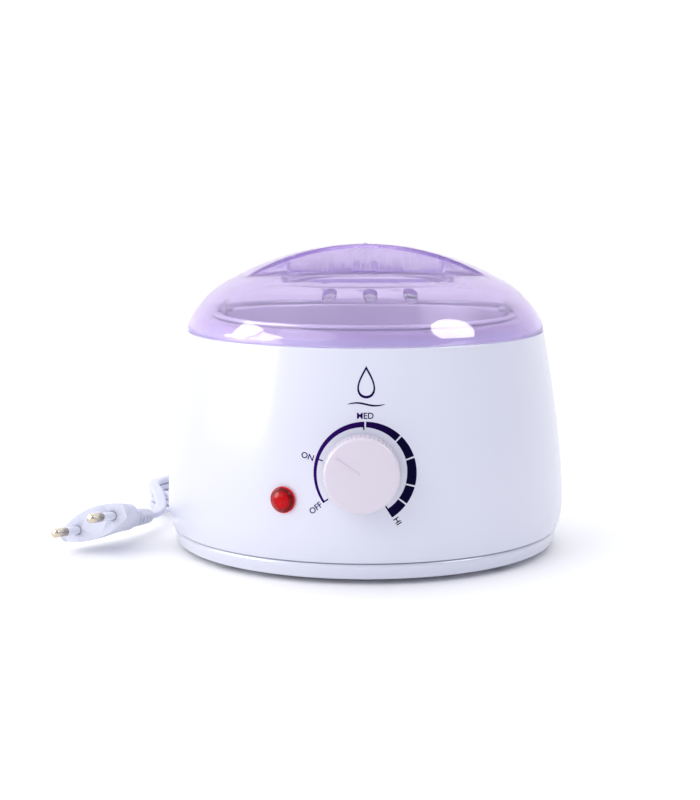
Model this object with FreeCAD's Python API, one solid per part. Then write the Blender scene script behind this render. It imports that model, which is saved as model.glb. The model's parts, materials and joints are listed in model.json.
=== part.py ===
import FreeCAD, Part
import math
import os

# Electric wax warmer pot, in millimetres. +Z up, knob side towards -Y, origin on the table
# under the middle of the housing. Every piece is a solid of its own in parts/NODE.step.

V = FreeCAD.Vector
X_AXIS, Y_AXIS, Z_AXIS = V(1, 0, 0), V(0, 1, 0), V(0, 0, 1)

# ---- driving dimensions ---------------------------------------------------------------
WALL = 2.4                      # moulded wall of the housing
FOOT_H = 2.4                    # how far the feet hold the base off the table
BASE_TOP = 8.8                  # top of the base ring, and the shadow groove above it
HOUSING_BOTTOM = 9.4
BELLY_R, BELLY_Z = 87.5, 21.0   # widest place of the housing
SHOULDER_Z = 95.1               # flat shoulder that the lid's rim stands over
SHOULDER_R = 78.4
COLLAR_R, COLLAR_TOP = 73.8, 100.6

BOWL_R, BOWL_WALL = 66.2, 1.2   # fixed aluminium heater bowl, outer radius
BOWL_FLOOR = 31.0
POT_R, POT_WALL = 63.6, 0.9     # loose aluminium pot, outer radius
POT_FLOOR = 36.0
POT_TOP = 102.6

LID_BOTTOM = 95.5
LID_R = 78.2                    # outside of the lid's skirt
LID_WALL = 1.9
DOME_R, DOME_TOP = 121.7, 132.6  # big arc of the lid's crown
LEDGE_Z, LEDGE_CROWN_R = 122.3, 500.0  # finger ledges each side of the grip, a little crowned
GRIP_HALF = 5.0                 # half the thickness of the grip at its middle
RECESS_R = 94.2                 # its sides are hollowed to this radius, so it widens at both ends
WELL_DEEP, WELL_HALF, WELL_END, WELL_REACH = 2.5, 33.0, 8.0, 45.0
VENT_R, VENT_RING_R = 3.0, 62.3
VENT_TURN = 15.2                # degrees between neighbouring lid vents
LID_TURN = 1.8                  # the lid sits turned by this much

KNOB_X, KNOB_Z = -1.3, 46.7     # where the knob's axis leaves the wall
KNOB_R, KNOB_H = 15.5, 12.6
KNOB_TILT = 3.4                 # the wall leans back by this much there
KNOB_REST = 146.7               # pointer's angle at rest, anticlockwise from +X
SHAFT_R = 3.0

LAMP_TURN, LAMP_Z, LAMP_R = -22.0, 34.6, 5.4

CORD_D = 5.2                    # width of the flat two-core lead
EXIT_Z = 16.0                   # height of the lead's outlet in the back wall
HANK_RUN, HANK_FOLD_R = 112.0, 15.6
HANK_TURNS = 3                  # full turns, then one more run out to the plug
HANK_PITCH = 3.4                # the flat lead's turns lie this far above each other
HANK_FLOOR = 0.7                # the tie passes under the hank
HANK_START = (-85.8, 64.0)      # centre of the fold that is nearer the plug
HANK_DIR = (0.6, 0.8)           # from that fold towards the far one

os.makedirs("parts", exist_ok=True)


# ---- helpers --------------------------------------------------------------------------
def save(shape, node):
    """Write one named piece, fused and checked."""
    if not shape.isValid():
        raise RuntimeError(node + " is not a valid solid")
    shape.exportStep("parts/" + node + ".step")
    print(node, "solids", len(shape.Solids), "cm3", round(shape.Volume / 1000, 2))


def rz(radius, z):
    """A point of a turned profile."""
    return V(radius, 0, z)


def turned(*edges):
    """A solid of revolution about Z from profile edges given in order."""
    wire = Part.Wire(list(edges))
    return Part.Face(wire).revolve(V(0, 0, 0), Z_AXIS, 360)


def lines(*points, close=False):
    """Straight edges through the points."""
    pts = list(points) + ([points[0]] if close else [])
    return [Part.LineSegment(a, b).toShape() for a, b in zip(pts, pts[1:])]


def arc(a, mid, b):
    return Part.Arc(a, mid, b).toShape()


def cap(radius, z, rise):
    """A rounded end of a turned profile: from the rim in to the axis, level at the axis."""
    ball = (radius ** 2 + rise ** 2) / (2 * rise)
    half = math.asin(min(1.0, radius / ball)) / 2 if rise <= radius else math.pi / 4
    return arc(rz(radius, z), rz(ball * math.sin(half), z + rise - ball * (1 - math.cos(half))), rz(0, z + rise))


def spline(*points):
    curve = Part.BSplineCurve()
    curve.interpolate(list(points))
    return curve.toShape()


def ring(r_out, r_in, z0, z1):
    """A plain ring; a disc where r_in is 0."""
    body = Part.makeCylinder(r_out, z1 - z0, V(0, 0, z0))
    return body.cut(Part.makeCylinder(r_in, z1 - z0, V(0, 0, z0))) if r_in else body


def box(x0, x1, y0, y1, z0, z1):
    return Part.makeBox(x1 - x0, y1 - y0, z1 - z0, V(x0, y0, z0))


def rod(start, end, radius):
    run = end - start
    return Part.makeCylinder(radius, run.Length, start, run)


def polar(radius, turn, z):
    """A point at a turn in degrees from +X."""
    a = math.radians(turn)
    return V(radius * math.cos(a), radius * math.sin(a), z)


def moved(shape, place, rotation):
    """A copy of the shape, turned about the origin and then moved to a place."""
    copy = shape.copy()
    copy.Placement = FreeCAD.Placement(place, rotation).multiply(shape.Placement)
    return copy


def around(shape, turns):
    """Copies of one shape turned about Z, as separate solids."""
    return Part.makeCompound([moved(shape, V(0, 0, 0), FreeCAD.Rotation(Z_AXIS, t)) for t in turns])


def filleted(shape, radius, test):
    """Round the edges that the test picks out."""
    edges = [e for e in shape.Edges if test(e)]
    return shape.makeFillet(radius, edges)


def fuse(first, *rest):
    return first.fuse(list(rest)).removeSplitter()


def tube_along(points, radius, name):
    """A round tube on straight runs joined by tangent arcs; prints its radii and its length."""
    runs = [(b - a).Length for a, b in zip(points, points[1:])]
    edges, at, radii = [], points[0], []
    for i in range(1, len(points) - 1):
        back, ahead = points[i - 1] - points[i], points[i + 1] - points[i]
        back.normalize()
        ahead.normalize()
        half = math.acos(max(-1, min(1, -back.dot(ahead)))) / 2
        short = min(runs[i - 1], runs[i])
        bend = 0.45 * short / math.tan(half)
        radii.append(round(bend, 1))
        set_back = 0.45 * short
        a, b = points[i] + back * set_back, points[i] + ahead * set_back
        to_centre = back + ahead
        to_centre.normalize()
        centre = points[i] + to_centre * (bend / math.cos(half))
        mid = centre - to_centre * bend
        edges.append(Part.LineSegment(at, a).toShape())
        edges.append(arc(a, mid, b))
        at = b
    edges.append(Part.LineSegment(at, points[-1]).toShape())
    path = Part.Wire(edges)
    section = Part.Wire(Part.Circle(points[0], points[1] - points[0], radius).toShape())
    tube = path.makePipeShell([section], True, True)
    wanted = math.pi * radius ** 2 * path.Length
    print(name, "runs", [round(r, 1) for r in runs], "radii", radii,
          "length", round(path.Length, 1), "volume ratio", round(tube.Volume / wanted, 4))
    return tube


# ---- places worked out from the driving dimensions --------------------------------------
WALL_POINTS = [(BELLY_R, BELLY_Z), (86.7, 38.0), (84.9, 55.0), (81.7, 76.0), (SHOULDER_R, SHOULDER_Z)]


def housing_side(inset):
    """The housing's side curve from the belly to the shoulder, moved in by inset."""
    return spline(*[rz(r - inset, z) for r, z in WALL_POINTS])


TILT = math.radians(KNOB_TILT)
KNOB_OUT = V(0, -math.cos(TILT), math.sin(TILT))       # the knob's axis, out of the wall
WALL_R_AT_KNOB = 85.95
KNOB_AT = V(KNOB_X, -WALL_R_AT_KNOB, KNOB_Z)           # where that axis meets the wall


def on_knob_axis(shape, spin=0.0):
    """Move a shape drawn about +Z, with the wall at z = 0, onto the knob's axis."""
    stand = FreeCAD.Rotation(X_AXIS, 90 - KNOB_TILT).multiply(FreeCAD.Rotation(Z_AXIS, spin))
    return moved(shape, KNOB_AT, stand)


WALL_R_AT_LAMP = 86.85


def on_lamp_axis(shape):
    """Move a shape drawn about +Z, with the wall at z = 0, onto the lamp's axis."""
    turn = FreeCAD.Rotation(Z_AXIS, LAMP_TURN)
    return moved(shape, turn.multVec(V(0, -WALL_R_AT_LAMP, LAMP_Z)),
                 turn.multiply(FreeCAD.Rotation(X_AXIS, 90)))


# ---- housing and base --------------------------------------------------------------------
BOSS_TURNS = (45, 135, 225, 315)
BOSS_RING_R = 76.0
BOSS_R, BOSS_TOP = 4.2, 24.0
SCREW_R = 1.5
UPSTAND_TOP = HOUSING_BOTTOM + 3.0   # the base's upstand inside the housing


def outer_housing():
    """White shell: rounded foot, leaning wall, flat shoulder and a collar that the lid slips over."""
    low_out, low_in = rz(85.5, HOUSING_BOTTOM), rz(85.5 - WALL, HOUSING_BOTTOM)
    belly_out, belly_in = rz(BELLY_R, BELLY_Z), rz(BELLY_R - WALL, BELLY_Z)
    top_out, top_in = rz(SHOULDER_R, SHOULDER_Z), rz(SHOULDER_R - WALL, SHOULDER_Z)
    lip_in = COLLAR_R - WALL
    shell = turned(
        arc(low_out, rz(86.95, 14.6), belly_out),
        housing_side(0),
        *lines(top_out, rz(COLLAR_R, SHOULDER_Z), rz(COLLAR_R, COLLAR_TOP - 2.6),
               rz(lip_in, COLLAR_TOP - 2.6), rz(lip_in, SHOULDER_Z - WALL),
               rz(SHOULDER_R - WALL - 0.2, SHOULDER_Z - WALL)),
        Part.LineSegment(rz(SHOULDER_R - WALL - 0.2, SHOULDER_Z - WALL), rz(75.9, 91.5)).toShape(),
        spline(rz(75.9, 91.5), rz(81.7 - WALL, 76.0), rz(84.9 - WALL, 55.0),
               rz(86.7 - WALL, 38.0), belly_in),
        arc(belly_in, rz(86.95 - WALL, 14.6), low_in),
        *lines(low_in, low_out))
    bosses = around(ring(BOSS_R, 0, BASE_TOP + 0.6, BOSS_TOP).translated(V(BOSS_RING_R, 0, 0)), BOSS_TURNS)
    webs = around(box(BOSS_RING_R, 86.0, -1.2, 1.2, UPSTAND_TOP + 0.4, BOSS_TOP - 1), BOSS_TURNS)
    shell = fuse(shell, *bosses.Solids, *webs.Solids)
    holes = around(rod(V(BOSS_RING_R, 0, 0), V(BOSS_RING_R, 0, BOSS_TOP - 3), SCREW_R), BOSS_TURNS)
    knob_hole = on_knob_axis(ring(5.1, 0, -8, 6))
    lamp_hole = on_lamp_axis(ring(4.1, 0, -8, 6))
    cord_hole = rod(V(0, 70, EXIT_Z), V(0, 100, EXIT_Z), 5.0)
    return shell.cut([*holes.Solids, knob_hole, lamp_hole, cord_hole])


def collar_ring():
    """Heat-resistant ring on top of the collar that carries the bowl's flange."""
    z0 = COLLAR_TOP - 2.6
    outer = COLLAR_R - 0.02
    return turned(*lines(rz(68.4, z0), rz(outer, z0), rz(outer, COLLAR_TOP - 0.9)),
                  arc(rz(outer, COLLAR_TOP - 0.9), rz(outer - 0.26, COLLAR_TOP - 0.26),
                      rz(outer - 0.9, COLLAR_TOP)),
                  *lines(rz(outer - 0.9, COLLAR_TOP), rz(71.6, COLLAR_TOP), rz(71.6, COLLAR_TOP - 1.3),
                         rz(68.4, COLLAR_TOP - 1.3), rz(68.4, z0)))


BASE_RING_R = 85.1
PLATE_TOP = FOOT_H + 2.4
BRACKET_TURNS = (20, 140, 260)


def base_plate():
    """White floor with a flared ring, air slots, screw wells and an upstand inside the housing."""
    plate = turned(
        *lines(rz(0, FOOT_H), rz(82.6, FOOT_H)),
        arc(rz(82.6, FOOT_H), rz(83.2, FOOT_H + 0.25), rz(83.5, FOOT_H + 0.9)),
        arc(rz(83.5, FOOT_H + 0.9), rz(84.5, 6.0), rz(BASE_RING_R, BASE_TOP)),
        *lines(rz(BASE_RING_R, BASE_TOP), rz(82.9, BASE_TOP), rz(82.9, UPSTAND_TOP),
               rz(81.2, UPSTAND_TOP), rz(81.2, PLATE_TOP), rz(0, PLATE_TOP), rz(0, FOOT_H)))
    wells = around(ring(BOSS_R + 0.2, 0, FOOT_H + 2, BASE_TOP + 0.6).translated(V(BOSS_RING_R, 0, 0)), BOSS_TURNS)
    plate = fuse(plate, *wells.Solids)
    bores = around(rod(V(BOSS_RING_R, 0, 0), V(BOSS_RING_R, 0, 20), SCREW_R + 0.3), BOSS_TURNS)
    heads = around(rod(V(BOSS_RING_R, 0, 0), V(BOSS_RING_R, 0, BASE_TOP - 1.6), 3.3), BOSS_TURNS)
    slot = box(28, 52, -1.5, 1.5, 0, 10)
    slots = around(slot, [22.5 + 15 * i for i in range(24) if i % 6 < 4])
    pilots = around(rod(V(54, 0, FOOT_H + 0.4), V(54, 0, 20), 1.6), BRACKET_TURNS)
    notch = rod(V(0, 75, EXIT_Z), V(0, 84, EXIT_Z), 7.2)
    return plate.cut([*bores.Solids, *heads.Solids, *slots.Solids, *pilots.Solids, notch])


FOOT_TURNS = (0, 90, 180, 270)
FOOT_RING_R = 70.0


def base_feet():
    """Four round rubber feet, each with a peg through the base."""
    foot = turned(*lines(rz(0, 0), rz(5.4, 0)), arc(rz(5.4, 0), rz(6.05, 0.25), rz(6.3, 0.9)),
                  *lines(rz(6.3, 0.9), rz(6.3, FOOT_H), rz(0, FOOT_H), rz(0, 0)))
    return around(foot.translated(V(FOOT_RING_R, 0, 0)), FOOT_TURNS)


def pan_screw(length, head_r, head_h, shank_r):
    """A cross-head screw drawn head down, with its seat at z = 0."""
    screw = turned(*lines(rz(0, -head_h), rz(head_r * 0.55, -head_h)),
                   arc(rz(head_r * 0.55, -head_h), rz(head_r * 0.9, -head_h * 0.7), rz(head_r, 0)),
                   *lines(rz(head_r, 0), rz(shank_r, 0), rz(shank_r, length - 1.2), rz(0, length),
                          rz(0, -head_h)))
    cross_a = box(-head_r * 0.5, head_r * 0.5, -0.3, 0.3, -head_h, -head_h * 0.35)
    cross_b = box(-0.3, 0.3, -head_r * 0.5, head_r * 0.5, -head_h, -head_h * 0.35)
    return screw.cut([cross_a, cross_b])


def base_screws():
    screw = pan_screw(13.5, 3.0, 1.8, SCREW_R).translated(V(BOSS_RING_R, 0, BASE_TOP - 1.6))
    return around(screw, BOSS_TURNS)


# ---- heater ------------------------------------------------------------------------------
def heater_bowl():
    """Spun aluminium bowl that hangs by its flange from the collar ring."""
    flange_z = COLLAR_TOP - 1.3 + 0.3
    inner = BOWL_R - BOWL_WALL
    corner = 9.0
    drop = corner * (1 - math.sqrt(0.5))
    t = BOWL_WALL
    return turned(
        *lines(rz(0, BOWL_FLOOR), rz(BOWL_R - corner, BOWL_FLOOR)),
        arc(rz(BOWL_R - corner, BOWL_FLOOR), rz(BOWL_R - drop, BOWL_FLOOR + drop), rz(BOWL_R, BOWL_FLOOR + corner)),
        *lines(rz(BOWL_R, BOWL_FLOOR + corner), rz(BOWL_R, flange_z), rz(71.2, flange_z),
               rz(71.2, flange_z + 1.0), rz(inner, flange_z + 1.0), rz(inner, BOWL_FLOOR + corner)),
        arc(rz(inner, BOWL_FLOOR + corner), rz(inner - drop * 0.87, BOWL_FLOOR + t + drop * 0.87),
            rz(BOWL_R - corner, BOWL_FLOOR + t)),
        *lines(rz(BOWL_R - corner, BOWL_FLOOR + t), rz(0, BOWL_FLOOR + t), rz(0, BOWL_FLOOR)))


def bowl_gasket():
    """Thin silicone ring between the bowl's flange and the collar ring."""
    return ring(71.4, 68.6, COLLAR_TOP - 1.3, COLLAR_TOP - 1.0)


BAND_Z0, BAND_Z1 = 44.0, 80.0


def heating_band():
    """Mica band heater round the bowl, open where its clamp pulls it together at the back."""
    band = ring(BOWL_R + 1.6, BOWL_R, BAND_Z0, BAND_Z1)
    return band.cut(box(-6, 6, 55, 75, BAND_Z0 - 1, BAND_Z1 + 1))


def band_clamp():
    """Steel strap round the band with two upturned ears."""
    r0 = BOWL_R + 1.6
    strap = ring(r0 + 0.8, r0, 56, 68)
    ears = [box(s * 5 - 0.5, s * 5 + 0.5, r0 - 0.6, r0 + 8, 56, 68) for s in (-1, 1)]
    strap = strap.cut(box(-4.5, 4.5, 55, 80, 50, 70))
    hole = rod(V(-10, r0 + 5, 62), V(10, r0 + 5, 62), 1.75)
    return fuse(strap, *ears).cut(hole)


def band_clamp_screw():
    y = BOWL_R + 1.6 + 5
    shank = rod(V(-8.5, y, 62), V(9.0, y, 62), 1.6)
    head = rod(V(-8.5, y, 62), V(-5.6, y, 62), 3.0)
    nut = rod(V(5.6, y, 62), V(8.0, y, 62), 3.0)
    return fuse(shank, head, nut)


def insulation_sleeve():
    """Glass-fibre felt under and over the clamp strap, cut away where the thermostat sits."""
    r0 = BOWL_R + 1.6
    felt = fuse(ring(r0 + 2.2, r0, BAND_Z0 - 4, 55.5), ring(r0 + 2.2, r0, 68.5, BAND_Z1 + 4))
    return felt.cut([box(-17, 17, -80, -50, 30, 60), box(-7, 7, 55, 80, 30, 90)])


def bowl_brackets():
    """Three bent steel feet that stand on the base and steady the bowl's floor."""
    foot = box(46, 60, -5, 5, PLATE_TOP, PLATE_TOP + 1)
    leg = box(46, 47, -5, 5, PLATE_TOP, BOWL_FLOOR)
    pad = box(36, 47, -5, 5, BOWL_FLOOR - 1, BOWL_FLOOR)
    hole = rod(V(54, 0, 0), V(54, 0, 12), 1.8)
    return around(fuse(foot, leg, pad).cut(hole), BRACKET_TURNS)


def bracket_screws():
    screw = pan_screw(2.9, 3.0, 1.8, 1.6)
    screw.rotate(V(0, 0, 0), X_AXIS, 180)
    return around(screw.translated(V(54, 0, PLATE_TOP + 1)), BRACKET_TURNS)


# ---- control -----------------------------------------------------------------------------
BODY_FACE = -6.0                # front of the thermostat's body behind the wall
BODY_DEPTH = 8.0


def thermostat_bracket():
    """Steel plate clamped behind the wall, with two legs along the thermostat's sides."""
    plate = box(-15, 15, -12, 12, BODY_FACE, BODY_FACE + 1.0)
    legs = [box(s * 14.5 - 0.5, s * 14.5 + 0.5, -8, 8, BODY_FACE - 6, BODY_FACE + 0.5) for s in (-1, 1)]
    return on_knob_axis(fuse(plate, *legs).cut(ring(5.05, 0, -20, 5)))


def thermostat_body():
    """Ceramic block with a threaded bush through the wall, bored for the shaft."""
    block = box(-12.5, 12.5, -10, 10, BODY_FACE - BODY_DEPTH, BODY_FACE)
    block = filleted(block, 2.0, lambda e: abs(e.BoundBox.ZLength - BODY_DEPTH) < 0.01)
    bush = ring(5.0, 0, BODY_FACE, 4.6)
    bore = ring(SHAFT_R + 0.08, 0, BODY_FACE - 3, 6)
    return on_knob_axis(fuse(block, bush).cut(bore))


def thermostat_terminals():
    """Two brass blades on the thermostat's lower end."""
    blades = [on_knob_axis(box(s * 6 - 3.15, s * 6 + 3.15, -17, -10, BODY_FACE - 5, BODY_FACE - 4.2))
              for s in (-1, 1)]
    return Part.makeCompound(blades)


def thermostat_nut():
    """Hexagon nut that clamps the bush to the wall, under the knob."""
    hexagon = Part.makePolygon([polar(7.6, 60 * i, 1.0) for i in range(7)])
    nut = Part.Face(hexagon).extrude(V(0, 0, 2.4))
    return on_knob_axis(nut.cut(ring(5.0, 0, 0, 5)))


def thermostat_shaft():
    """Steel spindle with a flat where the knob grips it."""
    shaft = ring(SHAFT_R, 0, BODY_FACE - 2.8, 11.0)
    return on_knob_axis(shaft.cut(box(2.2, 4, -4, 4, 4.9, 12)), KNOB_REST)


KNOB_BACK = 1.3                 # the knob's back edge stands this far off the wall's high line


def control_knob():
    """Round knob: domed face, fine grip flutes, a raised pointer line and a keyed hub inside."""
    top = KNOB_BACK + KNOB_H
    face_r = KNOB_R - 1.5
    knob = turned(
        *lines(rz(0, top - 2.2), rz(KNOB_R - 2.0, top - 2.2), rz(KNOB_R - 1.8, KNOB_BACK),
               rz(KNOB_R, KNOB_BACK), rz(KNOB_R - 0.35, top - 1.7)),
        arc(rz(KNOB_R - 0.35, top - 1.7), rz(KNOB_R - 0.85, top - 1.1), rz(face_r, top - 0.75)),
        cap(face_r, top - 0.75, 0.75),
        *lines(rz(0, top), rz(0, top - 2.2)))
    hub = ring(5.6, 0, 4.9, top - 2.0)
    bore = ring(SHAFT_R, 0, 4.8, 11.0).cut(box(2.2, 4, -4, 4, 4, 12))
    pointer = box(1.5, 12.2, -0.45, 0.45, top - 1.6, top + 0.35)
    knob = fuse(knob, hub, pointer).cut(bore)
    return on_knob_axis(knob, KNOB_REST)


def indicator_lens():
    """Red lens: a domed cap with a rim on the wall and a barrel through it."""
    back, rim_z, rise = 0.5, 1.2, 3.0
    lens = turned(*lines(rz(0, -5.5), rz(4.0, -5.5), rz(4.0, back), rz(LAMP_R, back), rz(LAMP_R, rim_z)),
                  cap(LAMP_R, rim_z, rise), *lines(rz(0, rim_z + rise), rz(0, -5.5)))
    return on_lamp_axis(lens.cut(ring(2.7, 0, -5.6, -1.0)))


def lamp_clip():
    """Push-on spring washer that holds the lens from inside."""
    return on_lamp_axis(ring(6.2, 4.0, -4.6, -3.9))


def neon_lamp():
    """Glass neon bulb in the lens's barrel."""
    bulb = turned(*lines(rz(0, -13), rz(2.4, -13), rz(2.4, -3.8)), cap(2.4, -3.8, 2.4),
                  *lines(rz(0, -1.4), rz(0, -13)))
    return on_lamp_axis(bulb)


# ---- wiring ------------------------------------------------------------------------------
def terminal_block():
    """Nylon two-way connector on the base."""
    block = box(-10, 10, 34, 50, PLATE_TOP, PLATE_TOP + 11.6)
    cuts = [rod(V(s * 5, 30, FOOT_H + 8), V(s * 5, 55, FOOT_H + 8), 1.6) for s in (-1, 1)]
    wells = [rod(V(s * 5, 42, FOOT_H + 9), V(s * 5, 42, FOOT_H + 20), 2.1) for s in (-1, 1)]
    waist = box(-0.8, 0.8, 30, 55, FOOT_H + 5, FOOT_H + 20)
    return block.cut([*cuts, *wells, waist])


def terminal_screws():
    z = FOOT_H + 10.2
    screw = ring(2.0, 0, z, z + 2.4).cut(box(-2.5, 2.5, -0.3, 0.3, z + 1.6, z + 3))
    return Part.makeCompound([screw.translated(V(s * 5, 42, 0)) for s in (-1, 1)])


def thermal_fuse():
    """Axial thermal cut-out strapped to the band, in its sleeve."""
    return rod(V(63.3, 34.8, 49), V(63.3, 34.8, 64), 1.9)


WIRE_R = 1.1
WIRES = {
    "wire_brown_in": [(1.6, 81, 14.5), (1.6, 75.5, 10.5), (1.6, 69, 7.2), (1.6, 61, 6.6), (3.2, 55, 8.4),
                      (5, 50, 10.4)],
    "wire_blue_in": [(-1.6, 81, 14.5), (-1.6, 75.5, 10.5), (-1.6, 69, 7.2), (-1.6, 61, 6.6), (-3.2, 55, 8.4),
                     (-5, 50, 10.4)],
    "wire_thermostat": [(5, 34, 10.4), (8, 20, 9.6), (9.4, 2, 9), (8.8, -18, 8.6), (7.6, -37, 9), (6.4, -54, 10.4),
                        (5.6, -68, 14.8), (5, -75, 21.8), (4.7, -76.7, 28.8)],
    "wire_lamp": [(-5, 34, 10.4), (-9, 21, 9.4), (-13.6, 3, 9), (-17, -16, 8.8), (-20.4, -35, 9.4),
                  (-23.8, -52, 12), (-27, -65.2, 18.6), (-28.2, -69.6, 25.6), (-28.3, -70, 31.8)],
}


def wire(node):
    return tube_along([V(*p) for p in WIRES[node]], WIRE_R, node)


def cord_clamp():
    """Saddle on the base that holds the lead just inside its outlet."""
    saddle = box(-11, 11, 60, 68, PLATE_TOP, PLATE_TOP + 7.6)
    groove = box(-3.4, 3.4, 58, 70, PLATE_TOP - 0.1, PLATE_TOP + 3.6)
    holes = [rod(V(s * 7.5, 64, 0), V(s * 7.5, 64, 20), 1.8) for s in (-1, 1)]
    return saddle.cut([groove, *holes])


def cord_clamp_screws():
    screw = pan_screw(7.5, 3.0, 1.8, 1.6)
    screw.rotate(V(0, 0, 0), X_AXIS, 180)
    return Part.makeCompound([screw.translated(V(s * 7.5, 64, FOOT_H + 10)) for s in (-1, 1)])


# ---- loose pot and its handle ------------------------------------------------------------
BAIL_R, BAIL_WIRE = 68.4, 1.3
BAIL_Z = 104.0
RIVET_Z = 95.0


def inner_pot():
    """Loose aluminium wax pot with a rolled lip, a round-cornered floor and rivet holes."""
    t, corner = POT_WALL, 8.0
    drop = corner * (1 - math.sqrt(0.5))
    inner, lip_z = POT_R - t, POT_TOP - 1.3
    pot = turned(
        *lines(rz(0, POT_FLOOR), rz(POT_R - corner, POT_FLOOR)),
        arc(rz(POT_R - corner, POT_FLOOR), rz(POT_R - drop, POT_FLOOR + drop), rz(POT_R, POT_FLOOR + corner)),
        *lines(rz(POT_R, POT_FLOOR + corner), rz(POT_R, lip_z - 0.2), rz(POT_R + 1.4, lip_z - 0.2)),
        arc(rz(POT_R + 1.4, lip_z - 0.2), rz(POT_R + 2.3, lip_z + 0.6), rz(POT_R + 1.4, POT_TOP)),
        Part.LineSegment(rz(POT_R + 1.4, POT_TOP), rz(POT_R, POT_TOP)).toShape(),
        arc(rz(POT_R, POT_TOP), rz(inner + 0.26, POT_TOP - 0.26), rz(inner, POT_TOP - 0.9)),
        *lines(rz(inner, POT_TOP - 0.9), rz(inner, POT_FLOOR + corner)),
        arc(rz(inner, POT_FLOOR + corner), rz(inner - drop * 0.9, POT_FLOOR + t + drop * 0.9),
            rz(POT_R - corner, POT_FLOOR + t)),
        *lines(rz(POT_R - corner, POT_FLOOR + t), rz(0, POT_FLOOR + t), rz(0, POT_FLOOR)))
    return pot.cut(around(Part.makeCompound(rivet_shanks()), (0, 180)))


def pot_ears():
    """Two steel lugs riveted inside the lip, each with a hole for the handle's end."""
    inner = POT_R - POT_WALL
    top = BAIL_Z + 4.4
    outline = fuse(box(50, 80, -6, 6, RIVET_Z - 5, top - 5), rod(V(50, 0, top - 5), V(80, 0, top - 5), 5.0))
    hole = rod(V(50, 0, BAIL_Z), V(80, 0, BAIL_Z), BAIL_WIRE + 0.08)
    ear = ring(inner, inner - 1.2, 80, 120).common(outline).cut([hole, *rivet_shanks()])
    return around(ear, (0, 180))


def rivet_shanks():
    """The two rivet shanks of one lug, also used to cut their holes."""
    inner = POT_R - POT_WALL
    return [rod(V(inner - 1.6, y, RIVET_Z), V(inner + POT_WALL + 0.1, y, RIVET_Z), 1.0) for y in (-3.2, 3.2)]


def ear_rivets():
    """Two rivets through each lug and the pot's wall."""
    head = turned(*lines(rz(0, 0), rz(1.9, 0)), cap(1.9, 0, 1.0), *lines(rz(0, 1.0), rz(0, 0)))
    head.rotate(V(0, 0, 0), Y_AXIS, -90)
    rivets = [fuse(shank, head.translated(V(POT_R - POT_WALL - 1.5, shank.CenterOfMass.y, RIVET_Z)))
              for shank in rivet_shanks()]
    return Part.makeCompound([r for side in (0, 180) for r in around(Part.makeCompound(rivets), (side,)).Solids])


def bail_handle():
    """Wire handle lying back round the lip, with inturned ends through the lugs."""
    end_x = POT_R - POT_WALL - 4.2
    start, finish = V(end_x, 0, BAIL_Z), V(-end_x, 0, BAIL_Z)
    bend = 3.6
    k = bend * (1 - math.sqrt(0.5))
    right = [Part.LineSegment(start, V(BAIL_R - bend, 0, BAIL_Z)).toShape(),
             arc(V(BAIL_R - bend, 0, BAIL_Z), V(BAIL_R - k, k, BAIL_Z), V(BAIL_R, bend, BAIL_Z))]
    left = [arc(V(-BAIL_R, bend, BAIL_Z), V(-BAIL_R + k, k, BAIL_Z), V(-BAIL_R + bend, 0, BAIL_Z)),
            Part.LineSegment(V(-BAIL_R + bend, 0, BAIL_Z), finish).toShape()]
    loop = arc(V(BAIL_R, bend, BAIL_Z), V(0, BAIL_R, BAIL_Z), V(-BAIL_R, bend, BAIL_Z))
    path = Part.Wire([*right, loop, *left])
    section = Part.Wire(Part.Circle(start, X_AXIS, BAIL_WIRE).toShape())
    return path.makePipeShell([section], True, True)


def bail_grip():
    """Plastic sleeve on the middle of the wire handle."""
    span = math.radians(17)
    a = V(BAIL_R * math.sin(span), BAIL_R * math.cos(span), BAIL_Z)
    b = V(-a.x, a.y, a.z)
    path = Part.Wire(arc(a, V(0, BAIL_R, BAIL_Z), b))
    tangent = V(-math.cos(span), math.sin(span), 0)
    grip = path.makePipeShell([Part.Wire(Part.Circle(a, tangent, 2.1).toShape())], True, True)
    core = path.makePipeShell([Part.Wire(Part.Circle(a, tangent, BAIL_WIRE).toShape())], True, True)
    return grip.cut(core)


# ---- lid ---------------------------------------------------------------------------------
def dome(inset, bottom):
    """The lid's outside, or its inside where inset is the wall."""
    centre_z = DOME_TOP - DOME_R
    radius = DOME_R - inset
    join_r = 58.0 - inset * 0.48
    join = rz(join_r, centre_z + math.sqrt(radius ** 2 - join_r ** 2))
    crown_mid = rz(join_r / 2, centre_z + math.sqrt(radius ** 2 - join_r ** 2 / 4))
    corner_mid = rz(70.7 - inset * 0.73, 108.7 - inset * 0.68)
    corner = rz(77.7 - inset, 98.2 - inset * 0.2)
    foot = rz(LID_R - inset, bottom)
    return turned(arc(rz(0, DOME_TOP - inset), crown_mid, join), arc(join, corner_mid, corner),
                  *lines(corner, foot, rz(0, bottom), rz(0, DOME_TOP - inset)))


def hollowed_side(shape, grow):
    """What the recess's round back wall leaves of a shape, in front of the grip and mirrored behind it."""
    centre = V(0, -(GRIP_HALF + RECESS_R), LEDGE_Z - 20)
    front = shape.common(Part.makeCylinder(RECESS_R + grow, 60, centre))
    return front, front.mirror(V(0, 0, 0), Y_AXIS)


def finger_ledges(grow):
    """The room over two slightly crowned ledges, one each side of the grip."""
    top, far_x = LEDGE_Z - grow, 60.0
    drop = LEDGE_CROWN_R - math.sqrt(LEDGE_CROWN_R ** 2 - far_x ** 2)
    outline = Part.Wire([
        arc(V(-far_x, 0, top - drop), V(0, 0, top), V(far_x, 0, top - drop)),
        *lines(V(far_x, 0, top - drop), V(far_x, 0, 150), V(-far_x, 0, 150), V(-far_x, 0, top - drop))])
    return hollowed_side(Part.Face(outline).extrude(V(0, -90, 0)), grow)


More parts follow.
